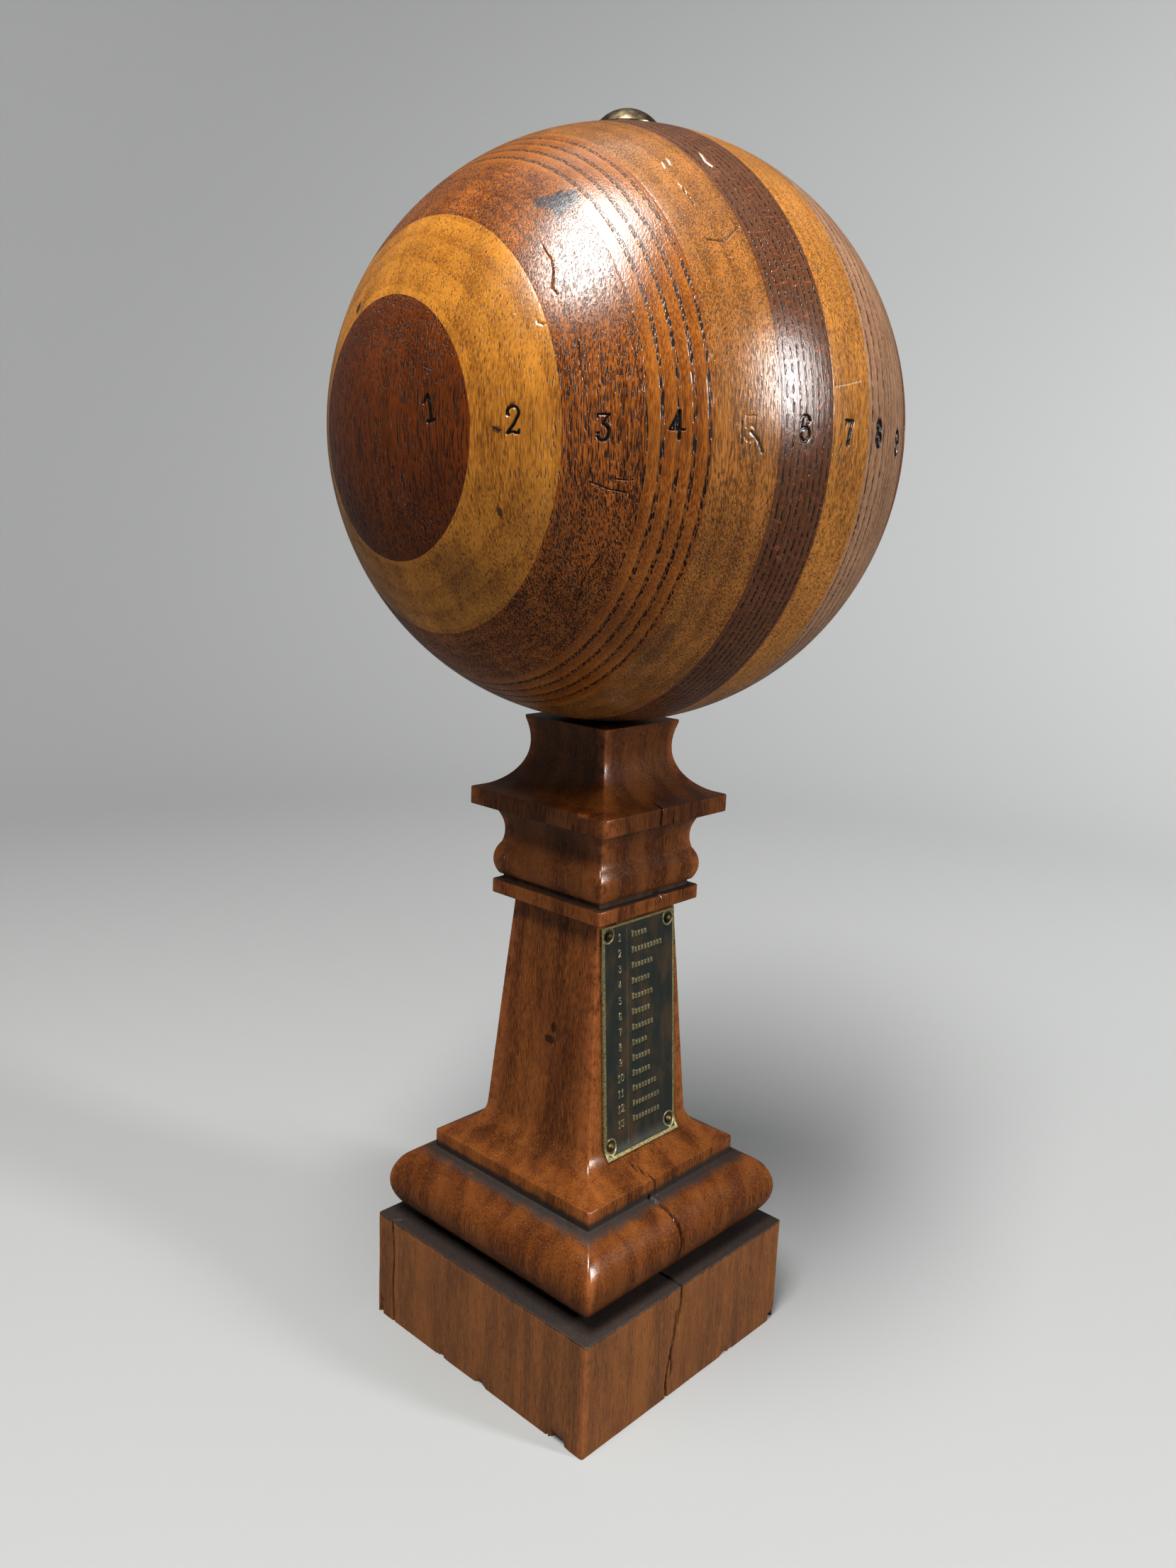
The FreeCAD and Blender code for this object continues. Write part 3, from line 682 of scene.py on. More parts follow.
def make_board(node, material):
    """One board of the ball: its turned face in full detail, and its two glued faces."""
    number = int(node.split("_")[1])
    species = node.split("_")[2]
    low, high = SPANS[node]
    polar = board_rows(number, low, high)
    polar = with_eased_ends(polar, high < BALL_RADIUS - MM, low > MM - BALL_RADIUS)
    polar = np.clip(polar, POLE_GAP, pi - POLE_GAP)
    turns = board_columns(number, low, high)
    along = np.repeat(BALL_RADIUS * np.cos(polar), len(turns))
    turn = np.tile(turns, len(polar))
    sink, ink = stamp_fields(number, along, turn)
    sink = sink * STAMP_DEPTH
    pale = np.zeros(len(sink))
    for score in marks_on(number):
        field = score_field(score, along, turn)
        sink = np.maximum(sink, field * score.depth * MM)
        ink = np.maximum(ink, field * score.ink)
        pale = np.maximum(pale, field * -score.ink)
    from_top = np.where(high < BALL_RADIUS - MM, high - along, 1.0)
    from_foot = np.where(low > MM - BALL_RADIUS, along - low, 1.0)
    sink += EDGE_DROP * (1.0 - smooth_step(np.minimum(from_top, from_foot), 0.0, EDGE_EASE))
    points = ball_points(along, turn)
    sink += WARP * (1.0 + ripple(points, 0.05, 3)) / 2.0
    points = points + (BALL_CENTRE - points) / BALL_RADIUS * sink[:, None]
    rows = len(polar)
    columns = len(turns)
    faces = grid_faces(rows, columns)
    ends = [BALL_CENTRE + ACROSS * along[0], BALL_CENTRE + ACROSS * along[-1]]
    middles = [len(points), len(points) + 1]
    points = np.vstack([points, ends])
    last = (rows - 1) * columns
    for column in range(columns):
        following = (column + 1) % columns
        faces.append([middles[0], following, column])
        faces.append([middles[1], last + column, last + following])
    layers = {"ink": np.append(ink, [0.0, 0.0]), "pale": np.append(pale, [0.0, 0.0])}
    name = f"board_{number:02d}_{species}"
    piece = add_mesh(name, points, faces, "ball", material, layers=layers)
    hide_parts(node)
    return piece


def lathe(name, outline, sides, hollow=False):
    """A turned shape on the Z axis from an outline of radius and height, floor up: a closed solid, or
    a bowl that faces inwards."""
    turns = np.linspace(0.0, 2.0 * pi, sides, endpoint=False)
    points = [(radius * cos(t), radius * sin(t), height) for radius, height in outline for t in turns]
    faces = grid_faces(len(outline), sides)
    faces.append(list(range(sides))[::-1])
    if hollow:
        faces = [face[::-1] for face in faces]
    else:
        faces.append([(len(outline) - 1) * sides + side for side in range(sides)])
    mesh = bpy.data.meshes.new(name)
    mesh.from_pydata(points, [], faces)
    turned = bpy.data.objects.new(name, mesh)
    bpy.context.scene.collection.objects.link(turned)
    return turned


def spindle_tool():
    """The space that the spindle's bore, the cap's spot face and the flat seat take out of the ball."""
    neck_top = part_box("pedestal")[1][2]
    washer_low, washer_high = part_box("cap_washer")
    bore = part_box("spindle")[1][0] + RUNNING_GAP
    seat = neck_top + RUNNING_GAP
    floor = washer_low[2] - RUNNING_GAP
    spot_face = washer_high[0] + 0.5 * MM
    wide, past = 0.03, 0.02
    outline = (
        (wide, seat - past),
        (wide, seat),
        (bore, seat),
        (bore, floor),
        (spot_face, floor),
        (spot_face, floor + past),
    )
    return lathe("spindle_space", outline, 128)


def cut_away(piece, tool):
    """Take the tool's solid out of the piece for good."""
    cut = piece.modifiers.new("bored", "BOOLEAN")
    cut.operation = "DIFFERENCE"
    cut.solver = "EXACT"
    cut.object = tool
    graph = bpy.context.evaluated_depsgraph_get()
    result = bpy.data.meshes.new_from_object(
        piece.evaluated_get(graph), preserve_all_data_layers=True, depsgraph=graph
    )
    piece.modifiers.remove(cut)
    piece.data = result
    result.shade_smooth()
    result.set_sharp_from_angle(angle=radians(35.0))


BORED_BOARDS = (6, 7, 8)


def make_ball():
    """The thirteen boards, with the spindle's space cut out of the middle ones."""
    tool = spindle_tool()
    for node in BOARDS:
        number = int(node.split("_")[1])
        board = make_board(node, board_material(number, node.split("_")[2]))
        if number in BORED_BOARDS:
            cut_away(board, tool)
    bpy.data.objects.remove(tool)


# --- The pedestal ---

# The moulding from the floor up: half-width and height in mm, then the radius of the arc that
# leads to the next corner and whether it bulges (1) or is hollow (-1).
MOULDING = (
    (57.5, 0.0, None, 0),
    (57.5, 44.3, None, 0),
    (45.1, 44.3, None, 0),
    (45.1, 45.3, 15.0, 1),
    (41.75, 74.3, None, 0),
    (41.75, 81.3, None, 0),
    (32.9, 86.0, 10.0, -1),
    (27.6, 94.1, None, 0),
    (21.4, 180.2, None, 0),
    (27.95, 180.2, None, 0),
    (27.95, 185.4, None, 0),
    (24.9, 185.4, None, 0),
    (24.9, 187.6, None, 0),
    (26.0, 187.6, 10.6, 1),
    (25.6, 199.9, 14.3, -1),
    (28.75, 214.4, None, 0),
    (34.3, 214.4, None, 0),
    (34.3, 220.8, 18.1, -1),
    (18.75, 238.7, 25.7, -1),
    (20.3, 247.5, None, 0),
    (20.3, 248.5, None, 0),
)
DENSE = 0.1
CORNER_EASE = 0.7
ROW_LENGTH = 3.5
ROW_TURN = radians(12.0)
SKY_REACH = 14.0


def dense_profile():
    """The moulding as closely spaced points, in mm."""
    line = []
    for (width, height, radius, bulge), following in zip(MOULDING, MOULDING[1:]):
        start = (width, height)
        end = following[:2]
        if radius:
            stretch = arc_points(start, end, radius, bulge, DENSE)
        else:
            count = max(int(np.hypot(end[0] - width, end[1] - height) / DENSE), 2)
            stretch = np.linspace(start, end, count + 1)
        line += list(stretch[:-1])
    line.append(MOULDING[-1][:2])
    return np.array(line)


def rolling_mean(line, reach):
    """The line smoothed by a bell-shaped window that reaches this many points each way."""
    kernel = np.hanning(2 * reach + 3)[1:-1]
    kernel /= kernel.sum()
    padded = np.pad(line, ((reach, reach), (0, 0)), mode="edge")
    return np.stack([np.convolve(padded[:, axis], kernel, mode="valid") for axis in (0, 1)], -1)


def worn_profile():
    """The moulding with its edges eased by wear and its inner corners left crisp."""
    line = dense_profile()
    shift = rolling_mean(line, int(CORNER_EASE / DENSE)) - line
    along = np.gradient(rolling_mean(line, 3), axis=0)
    out = np.stack([along[:, 1], -along[:, 0]], -1)
    filled = (shift * out).sum(1) > 0.0
    shift[filled] *= 0.25
    return line + shift


def thinned(line):
    """Fewer points: close together where the line turns, further apart where it runs straight."""
    steps = np.diff(line, axis=0)
    lengths = np.hypot(steps[:, 0], steps[:, 1])
    headings = np.unwrap(np.arctan2(steps[:, 1], steps[:, 0]))
    turning = np.concatenate([[0.0], np.abs(np.diff(headings))])
    effort = np.concatenate([[0.0], np.cumsum(lengths / ROW_LENGTH + turning / ROW_TURN)])
    marks = np.linspace(0.0, effort[-1], int(effort[-1]) + 1)
    return np.stack([np.interp(marks, effort, line[:, axis]) for axis in (0, 1)], -1)


def sky_share(line):
    """How much of the open half-circle each point of the moulding sees within a short distance."""
    along = np.gradient(line, axis=0)
    facing = np.arctan2(-along[:, 0], along[:, 1])
    starts, runs = line[:-1], np.diff(line, axis=0)
    seen = np.zeros(len(line))
    angles = np.linspace(-1.4, 1.4, 23)
    for angle in angles:
        way = np.stack([np.cos(facing + angle), np.sin(facing + angle)], -1)
        origin = line + np.stack([np.cos(facing), np.sin(facing)], -1) * 0.1
        offset = starts[None] - origin[:, None]
        cross = way[:, None, 0] * runs[None, :, 1] - way[:, None, 1] * runs[None, :, 0]
        cross = np.where(np.abs(cross) < 1e-9, 1e-9, cross)
        distance = (offset[..., 0] * runs[None, :, 1] - offset[..., 1] * runs[None, :, 0]) / cross
        share = (offset[..., 0] * way[:, None, 1] - offset[..., 1] * way[:, None, 0]) / cross
        hit = (distance > 0.0) & (distance < SKY_REACH) & (share >= 0.0) & (share <= 1.0)
        nearest = np.where(hit, distance, SKY_REACH).min(1) / SKY_REACH
        seen += nearest * cos(angle)
    return seen / np.cos(angles).sum()


# Cracks in the pedestal: face (0 is -Y, then on to +X, +Y and -X), points as mm from the face's
# middle and height in mm, then width and depth in mm.
Split = namedtuple("Split", "face points width depth")
SPLITS = (
    Split(0, ((-11.8, -1.0), (-12.4, 8.0), (-10.6, 17.0), (-8.6, 26.0), (-8.2, 34.0)), 1.2, 1.6),
    Split(0, ((-7.4, 29.0), (-5.6, 37.0), (-6.0, 45.0)), 1.2, 1.5),
    Split(0, ((-10.2, 19.0), (-9.6, 10.0)), 0.9, 1.2),
    Split(0, ((-5.4, 52.0), (-4.4, 58.0), (-4.6, 66.0), (-6.6, 72.0), (-9.0, 74.5)), 1.2, 1.6),
    Split(0, ((-5.2, 74.0), (-5.3, 79.0), (-7.2, 82.0), (-11.5, 86.0)), 0.9, 0.35),
    Split(0, ((-4.2, 221.5), (-4.5, 217.0), (-4.2, 213.5)), 0.9, 1.2),
    Split(0, ((2.5, 216.5), (2.3, 213.5)), 0.5, 0.8),
    Split(3, ((-48.6, 45.0), (-47.6, 30.0), (-48.4, 16.0), (-47.2, -1.0)), 1.1, 1.1),
)
# Chips knocked off edges: face, mm from its middle, height, then half-size across and up, and depth.
Chip = namedtuple("Chip", "face across height wide tall depth")
CHIPS = (
    Chip(3, 44.5, 0.0, 4.2, 2.2, 2.4),
    Chip(3, 4.0, 0.0, 2.4, 1.0, 1.2),
    Chip(3, -18.0, 0.0, 2.0, 0.9, 1.0),
    Chip(3, -56.5, 1.0, 3.0, 5.0, 2.6),
    Chip(0, 56.5, 0.5, 3.5, 3.5, 2.4),
    Chip(0, 24.0, 0.0, 3.0, 1.0, 0.9),
    Chip(1, 20.0, 44.3, 2.2, 1.2, 1.0),
    Chip(2, -30.0, 0.0, 3.0, 1.6, 1.5),
    Chip(0, 6.0, 185.4, 1.6, 0.9, 0.8),
    Chip(3, 22.0, 220.8, 1.4, 0.9, 0.7),
)
BAND = 1.1
OPEN_STEP = 2.7
BAND_STEP = 0.4
BLOCK_WARP = 0.06
PLINTH_TOP = MOULDING[1][1]
EVEN_REACH = 14.0
ARRIS = 0.9
SLAB_ARRIS = 1.7
# The thin slabs and the torus, whose corners are worn rounder: middle height and half-height, in mm.
SLABS = ((182.8, 2.6), (217.6, 3.2), (59.0, 9.0))
CORNER_SHARES = (0.17, 0.33, 0.5, 0.67, 0.83)


def fine_bands(face):
    """The stretches across a face, in mm, where its cracks and chips want closer columns."""
    bands = []
    for split in SPLITS:
        if split.face == face:
            across = [point[0] for point in split.points]
            bands.append((min(across) - BAND, max(across) + BAND))
    for chip in CHIPS:
        if chip.face == face:
            bands.append((chip.across - chip.wide, chip.across + chip.wide))
    bands.sort()
    merged = []
    for low, high in bands:
        if merged and low <= merged[-1][1] + 1.0:
            merged[-1] = (merged[-1][0], max(high, merged[-1][1]))
        else:
            merged.append((low, high))
    return merged


def face_places(face):
    """Places across a face at the plinth, in mm from its middle, closer together in fine bands."""
    half = MOULDING[0][0]
    return spaced(-half, half, OPEN_STEP, fine_bands(face), BAND_STEP)


def corner_radius(height):
    """How far an upright arris is rounded: a little everywhere, more on the thin slabs' corners."""
    in_slab = any(abs(height - middle) < half + 0.2 for middle, half in SLABS)
    return SLAB_ARRIS if in_slab else ARRIS


def ring_plan(width, height, places):
    """The outline of the pedestal at one level: points, the face of each and its place across."""
    rounding = min(corner_radius(height), width * 0.2)
    flat = width - rounding
    points = []
    faces = []
    across = []
    limit = min(width, MOULDING[0][0])
    for face in range(4):
        turn = face * pi / 2.0
        normal = np.array([sin(turn), -cos(turn)])
        tangent = np.array([cos(turn), sin(turn)])
        for spot in squeezed(np.clip(places[face], -limit, limit), flat):
            points.append(normal * width + tangent * spot)
            faces.append(face)
            across.append(spot)
        for share in CORNER_SHARES:
            angle = share * pi / 2.0
            aside = flat + rounding * sin(angle)
            points.append(normal * (flat + rounding * cos(angle)) + tangent * aside)
            faces.append(face)
            across.append(aside)
    return np.array(points), np.array(faces), np.array(across)


def squeezed(spots, flat):
    """Places that keep their distance from the middle near it, and crowd in towards the ends."""
    half = MOULDING[0][0]
    core = min(EVEN_REACH, flat * 0.8)
    outer = (flat - core) / (half - core)
    away = np.abs(spots)
    return np.sign(spots) * np.where(away < core, away, core + (away - core) * outer)


def split_fields(face, across, heights):
    """How far cracks sink each point of a ring, in mm, and how much dirt they hold, from 0 to 1."""
    sink = np.zeros(len(face))
    ink = np.zeros(len(face))
    for split in SPLITS:
        gap = distance_to_strokes(across, heights, [(split.points, 0.0)])
        field = 1.0 - smooth_step(gap, 0.1 * split.width, 0.55 * split.width)
        field = np.where(face == split.face, field, 0.0)
        sink = np.maximum(sink, field * split.depth)
        ink = np.maximum(ink, field)
    return sink, ink


def chip_field(face, across, heights):
    """How much the chips have taken off each point of a ring, in mm."""
    bite = np.zeros(len(face))
    for chip in CHIPS:
        away = np.hypot((across - chip.across) / chip.wide, (heights - chip.height) / chip.tall)
        ragged = 0.25 * np.sin(across * 2.3 + chip.across) + 0.15 * np.sin(across * 5.1)
        field = np.where(face == chip.face, 1.0 - smooth_step(away + ragged, 0.35, 1.0), 0.0)
        bite = np.maximum(bite, field * chip.depth)
    return bite


def dirt_at(height, sky):
    """How much dirt and painted shade one level gets: in hollows that see little open space, on the plinth's
    ledge and on the torus.
    """
    ledge = 0.5 * (abs(height - PLINTH_TOP) < 0.4)
    shelf = 0.4 * smooth_step(height, 68.5, 74.0) * (height < 76.5)
    return 1.0 - sky + ledge + shelf


def pedestal_bore(angles, top):
    """Rings down through the block: the spindle's bore and the wider room for its washer and nut."""
    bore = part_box("spindle")[1][0] / MM + 0.1
    mouth = max(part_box("foot_washer")[1][0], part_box("foot_nut")[1][0]) / MM + 2.0
    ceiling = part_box("foot_washer")[1][2] / MM
    rings = []
    for radius, height in ((bore, top), (bore, ceiling), (mouth, ceiling), (mouth, 0.0)):
        heights = np.full(len(angles), height)
        rings.append(np.column_stack([radius * np.cos(angles), radius * np.sin(angles), heights]))
    return rings


def make_pedestal(material):
    """The moulded block, open through its middle for the spindle, its washer and its nut."""
    line = thinned(worn_profile())
    along = np.gradient(line, axis=0)
    out = np.stack([along[:, 1], -along[:, 0]], -1)
    out /= np.linalg.norm(out, axis=1)[:, None]
    places = [face_places(face) for face in range(4)]
    rings = []
    layers = {"wear": [], "grime_and_shade": [], "ink": []}
    for (width, height), (out_wide, out_up), sky in zip(line, out, sky_share(line)):
        plan, face, across = ring_plan(width, height, places)
        normals = np.stack([np.sin(face * pi / 2.0), -np.cos(face * pi / 2.0)], -1)
        heights = np.full(len(plan), height)
        sink, ink = split_fields(face, across, heights)
        bite = chip_field(face, across, heights)
        near_arris = smooth_step(np.abs(across), width - 2.2, width - 0.5)
        upright = 1.0 - smooth_step(abs(out_up), 0.25, 0.6)
        points = np.column_stack([plan, heights])
        points[:, :2] -= normals * (sink * max(out_wide, 0.0) + bite)[:, None]
        points[:, 2] -= sink * out_up * (abs(out_up) > 0.2)
        rings.append(points)
        layers["wear"].append(np.maximum(near_arris * (0.4 + 0.6 * upright), bite > 0.4))
        layers["grime_and_shade"].append(np.full(len(plan), dirt_at(height, sky)))
        layers["ink"].append(np.maximum(ink, 0.6 * (bite > 0.9)))
    block = np.vstack(rings)
    waver = BLOCK_WARP * (1.0 + ripple(block * MM, 0.03, 11))
    block[:, :2] *= (1.0 - waver / MOULDING[0][0])[:, None]
    columns = len(rings[0])
    top = line[-1][1]
    inner = pedestal_bore(np.arctan2(rings[0][:, 1], rings[0][:, 0]), top)
    points = np.vstack([block, *inner])
    points[:, 2] = np.clip(points[:, 2], 0.0, top)
    rows = len(rings) + len(inner)
    faces = grid_faces(rows, columns)
    last = (rows - 1) * columns
    for column in range(columns):
        following = (column + 1) % columns
        faces.append([last + column, last + following, following, column])
    spare = np.zeros(len(inner) * columns)
    held = {name: np.concatenate([*values, spare]).astype(float) for name, values in layers.items()}
    piece = add_mesh("pedestal_block", points * MM, faces, "stand", material, 38.0, held)
    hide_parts("pedestal")


def pedestal_material():
    """Red-brown varnished wood: rubbed light on its arrises, dusty and dark in its hollows, the dark partly
    painted shade, with painted shade on the torus and below the ball, and the plinth paler, partly a painted
    sheen.
    """
    shader = Shader("wood_pedestal")
    place = shader.place()
    colour, height, pores = grow_wood(shader, place, TIMBERS["pedestal"], 20)
    mottle = shader.noise(place, (0.06, 0.06, 0.03), detail=5.0, roughness=0.65)
    colour = shader.mix(shader.step(mottle, 0.42, 0.66), colour, shader.mix(0.3, colour, linear(50, 20, 8)))
    knots = (((-25.0, -3.0, 129.5), (2.4, 2.6, 1.7)), ((-24.6, -4.5, 134.5), (2.0, 1.2, 2.2)))
    for centre, radii in knots:
        blot = shader.blot(place, centre, radii, wavelength=1.5)
        colour = shader.stained(colour, blot, (34, 16, 9), 0.8)
    level = shader.split(place)[2]
    # Painted shade: the top of the pedestal darkened where the ball's shadow falls.
    shade = shader.times(shader.step(level, 176.0, 215.0), 0.45)
    colour = shader.stained(colour, shade, (34, 14, 5))
    # Painted shade: the whole torus band darkened to stand for its shaded side.
    torus = shader.times(shader.step(level, 74.6, 73.8), shader.step(level, 44.0, 45.0))
    colour = shader.stained(colour, torus, (66, 28, 6), 0.22)
    # The plinth taken paler and greyer: partly rubbing and dust, partly a painted sheen standing in for the
    # floor's reflection.
    rubbed_foot_and_sheen = shader.times(shader.step(level, 44.8, 43.8), 0.22)
    colour = shader.stained(colour, rubbed_foot_and_sheen, (142, 106, 76))
    rough_edge = shader.noise(place, 0.25, detail=4.0, roughness=0.7)
    wear = shader.times(shader.layer("wear"), shader.step(rough_edge, 0.3, 0.6))
    colour = shader.stained(colour, wear, (164, 98, 54), 0.45)
    # Painted shade with real dirt: the hollows go near-black by how little open space they see.
    patchy = shader.varied(shader.layer("grime_and_shade"), rough_edge, 0.5)
    grime_and_shade = shader.step(patchy, 0.26, 0.6)
    colour = shader.stained(colour, grime_and_shade, GRIME_AND_SHADE_TINT, 0.92)
    facing = shader.node("NewGeometry", {})["Normal"]
    upward = shader.step(shader.split(facing)[2], 0.6, 0.95)
    speck = shader.noise(place, 1.1, detail=4.0, roughness=0.7)
    dust = shader.times(shader.times(upward, grime_and_shade), shader.step(speck, 0.4, 0.8))
    colour = shader.stained(colour, dust, (46, 39, 35))
    ink = shader.layer("ink")
    colour = shader.stained(colour, ink, PORE_TINT)
    roughness = shader.math("MULTIPLY_ADD", grime_and_shade, 0.45, 0.24)
    roughness = shader.varied(roughness, rough_edge, 0.2, clamp=True)
    skin = shader.noise(place, 0.5, detail=4.0, roughness=0.65)
    normal = shader.bump(skin, 0.08 * MM, strength=0.5)
    normal = shader.bump(height, 0.1 * MM, strength=0.6, under=normal)
    return shader.finish(colour, roughness, normal, specular=VARNISH)


# --- The name plate ---

PLATE_GAP = 0.05
PLATE_FACE = 0.85
GROUND_DROP = 0.25
PLATE_STEP = 0.22
COVE_RADIUS = 10.0
COVE_ROWS = 33
PIN_RING = 2.75
NUMBER_PLACE = -10.6
DIVIDER_PLACE = -6.6
NAMES_PLACE = -4.0
FIRST_ROW = 5.4
ROW_PITCH = 6.0
PLATE_DIGIT = 3.0
BLOCK_WIDE = 1.25
BLOCK_GAP = 0.5
BLOCK_TALL = 1.9
FIRST_BLOCK_TALL = 2.5
# Lengths of the thirteen rows of plain blocks that stand where names would be, in mm.
BAR_LENGTHS = (9, 17, 12, 10, 12, 10, 13, 9, 11, 10, 14, 16, 15)


def plate_line(offset, low, high):
    """Rows down the plate at a distance off the wood: outward and height in mm, and length so far."""
    foot_half, foot_height = MOULDING[7][:2]
    top_half, top_height = MOULDING[8][:2]
    lean = atan((foot_half - top_half) / (top_height - foot_height))
    straight = (high - foot_height) / cos(lean)
    count = int(straight / PLATE_STEP)
    rows = []
    for distance in np.linspace(straight, 0.0, count + 1):
        out = foot_half - distance * sin(lean) + offset * cos(lean)
        rows.append((out, foot_height + distance * cos(lean) + offset * sin(lean), straight - distance))
    middle_out = foot_half + COVE_RADIUS * cos(lean)
    middle_up = foot_height + COVE_RADIUS * sin(lean)
    radius = COVE_RADIUS - offset
    last = asin((middle_up - low) / radius)
    for share in np.linspace(0.0, 1.0, COVE_ROWS)[1:]:
        angle = lean + (last - lean) * share
        out = middle_out - radius * cos(angle)
        rows.append((out, middle_up - radius * sin(angle), straight + COVE_RADIUS * (angle - lean)))
    return np.array(rows)


def pin_spots():
    """Where the pins cross the plate: mm across and height."""
    points = node_points("plate_pins") / MM
    spots = []
    for side in (-1, 1):
        for upper in (True, False):
            chosen = points[(points[:, 0] * side > 0) & ((points[:, 2] > 130) == upper)]
            outermost = chosen[chosen[:, 1] < chosen[:, 1].min() + 0.4]
            spots.append((outermost[:, 0].mean(), outermost[:, 2].mean()))
    return spots


def plate_relief(across, height, down, length):
    """How far each point of the plate's face stands above its ground, from 0 to 1."""
    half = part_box("name_plate")[1][0] / MM
    border = np.minimum(across + half - 0.7, half - across)
    border = np.minimum(border, np.minimum(down, length - down - 0.3))
    raised = 1.0 - smooth_step(border, 0.95, 1.2)
    for pin_across, pin_height in pin_spots():
        away = np.hypot(across - pin_across, (height - pin_height) * 1.02)
        ring = 1.0 - smooth_step(np.abs(away - PIN_RING), 0.3, 0.5)
        raised = np.where(away < PIN_RING, ring * 0.8, np.maximum(raised, ring))
    divider = 1.0 - smooth_step(np.abs(across - DIVIDER_PLACE), 0.12, 0.3)
    within = (down > 3.0) & (down < length - 3.0)
    raised = np.maximum(raised, divider * within * 0.7)
    for row, bar in enumerate(BAR_LENGTHS):
        middle = FIRST_ROW + ROW_PITCH * row
        x = (across - NUMBER_PLACE) / PLATE_DIGIT
        y = (middle - down) / PLATE_DIGIT
        near = (np.abs(x) < 1.0) & (np.abs(y) < 0.7)
        gap = distance_to_strokes(x[near], y[near], number_strokes(row + 1))
        raised[near] = np.maximum(raised[near], 1.0 - smooth_step(gap, -0.02, 0.04))
        start = NAMES_PLACE
        tall = FIRST_BLOCK_TALL
        while start < NAMES_PLACE + bar - 0.8:
            away_x = np.abs(across - start - BLOCK_WIDE / 2.0) - BLOCK_WIDE / 2.0
            away_y = np.abs(down - (middle + FIRST_BLOCK_TALL / 2.0 - tall / 2.0)) - tall / 2.0
            block = 1.0 - smooth_step(np.maximum(away_x, away_y), -0.1, 0.15)
            raised = np.maximum(raised, block * 0.85)
            start += BLOCK_WIDE + BLOCK_GAP
            tall = BLOCK_TALL
    return raised


def make_name_plate(material):
    """Thin pressed plate with a raised rim, numbers, a divider and plain blocks in place of words."""
    low_corner, high_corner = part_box("name_plate")
    low = low_corner[2] / MM
    half = high_corner[0] / MM
    lean_rise = 0.06
    high = high_corner[2] / MM - lean_rise
    front = plate_line(PLATE_FACE, low, high)
    ground = plate_line(PLATE_FACE - GROUND_DROP, low, high)
    back = plate_line(PLATE_GAP, low, high)
    places = np.linspace(-half, half, int(2 * half / PLATE_STEP) + 1)
    rows, columns = len(front), len(places)
    across = np.tile(places, rows)
    down = np.repeat(front[:, 2], columns)
    height = np.repeat(front[:, 1], columns)
    raised = plate_relief(across, height, down, front[-1, 2])
    share = raised[:, None]
    face = np.repeat(front[:, :2], columns, axis=0) * share
    face += np.repeat(ground[:, :2], columns, axis=0) * (1.0 - share)
    points = np.column_stack([across, -face[:, 0], face[:, 1]])
    faces = [quad[::-1] for quad in grid_faces(rows, columns, closed=False)]
    first = len(points)
    left = np.column_stack([np.full(rows, -half), -back[:, 0], back[:, 1]])
    right = left * (-1.0, 1.0, 1.0)
    points = np.vstack([points, left, right])
    for row in range(rows - 1):
        here = row * columns
        faces.append([here, first + row, first + row + 1, here + columns])
        end = here + columns - 1
        faces.append([end, end + columns, first + rows + row + 1, first + rows + row])
        faces.append([first + row, first + rows + row, first + rows + row + 1, first + row + 1])
    foot = (rows - 1) * columns
    faces.append([*range(columns), first + rows, first])
    faces.append([*range(foot, foot + columns), first + 2 * rows - 1, first + rows - 1][::-1])
    layers = {"raised": np.concatenate([raised, np.ones(2 * rows)])}
    piece = add_mesh("plate_sheet", points * MM, faces, "stand", material, 50.0, layers)
    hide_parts("name_plate")


def plate_material():
    """Black-green lacquered ground with rubbed pale brass where the plate stands proud."""
    shader = Shader("lacquered_plate")
    place = shader.place()
    patch = shader.noise(place, (0.12, 0.12, 0.05), detail=4.0, roughness=0.6)
    speck = shader.noise(place, 1.6, detail=4.0, roughness=0.7)
    lacquer = shader.mix(shader.step(patch, 0.42, 0.66), linear(33, 38, 34), linear(64, 50, 34))
    lacquer = shader.mix(shader.step(speck, 0.55, 0.75), lacquer, linear(44, 46, 38))
    brass = shader.mix(shader.step(speck, 0.35, 0.65), linear(186, 176, 132), linear(104, 94, 62))
    raised = shader.layer("raised")
    rub = shader.step(shader.varied(raised, speck, 0.9), 0.45, 0.85)
    colour = shader.mix(rub, lacquer, brass)
    roughness = shader.math("MULTIPLY_ADD", speck, 0.2, 0.34)
    normal = shader.bump(speck, 0.04 * MM, strength=0.6)
    metallic = shader.times(rub, 0.8)
    return shader.finish(colour, roughness, normal, metallic=metallic)


# --- Metal ---


def metal_material(name, tint, dark, roughness, shine=0.5):
    """Aged metal: bright where it is rubbed, brown where it is not."""
    shader = Shader(name)
    place = shader.place()
    patch = shader.noise(place, 0.4, detail=5.0, roughness=0.65)
    fine = shader.noise(place, 3.0, detail=3.0)
    colour = shader.mix(shader.step(patch, shine - 0.14, shine + 0.14), linear(*dark), linear(*tint))
    rough = shader.math("MULTIPLY_ADD", patch, -0.3, roughness + 0.3)
    normal = shader.bump(fine, 0.03 * MM, strength=0.5)
    return shader.finish(colour, rough, normal, metallic=1.0)


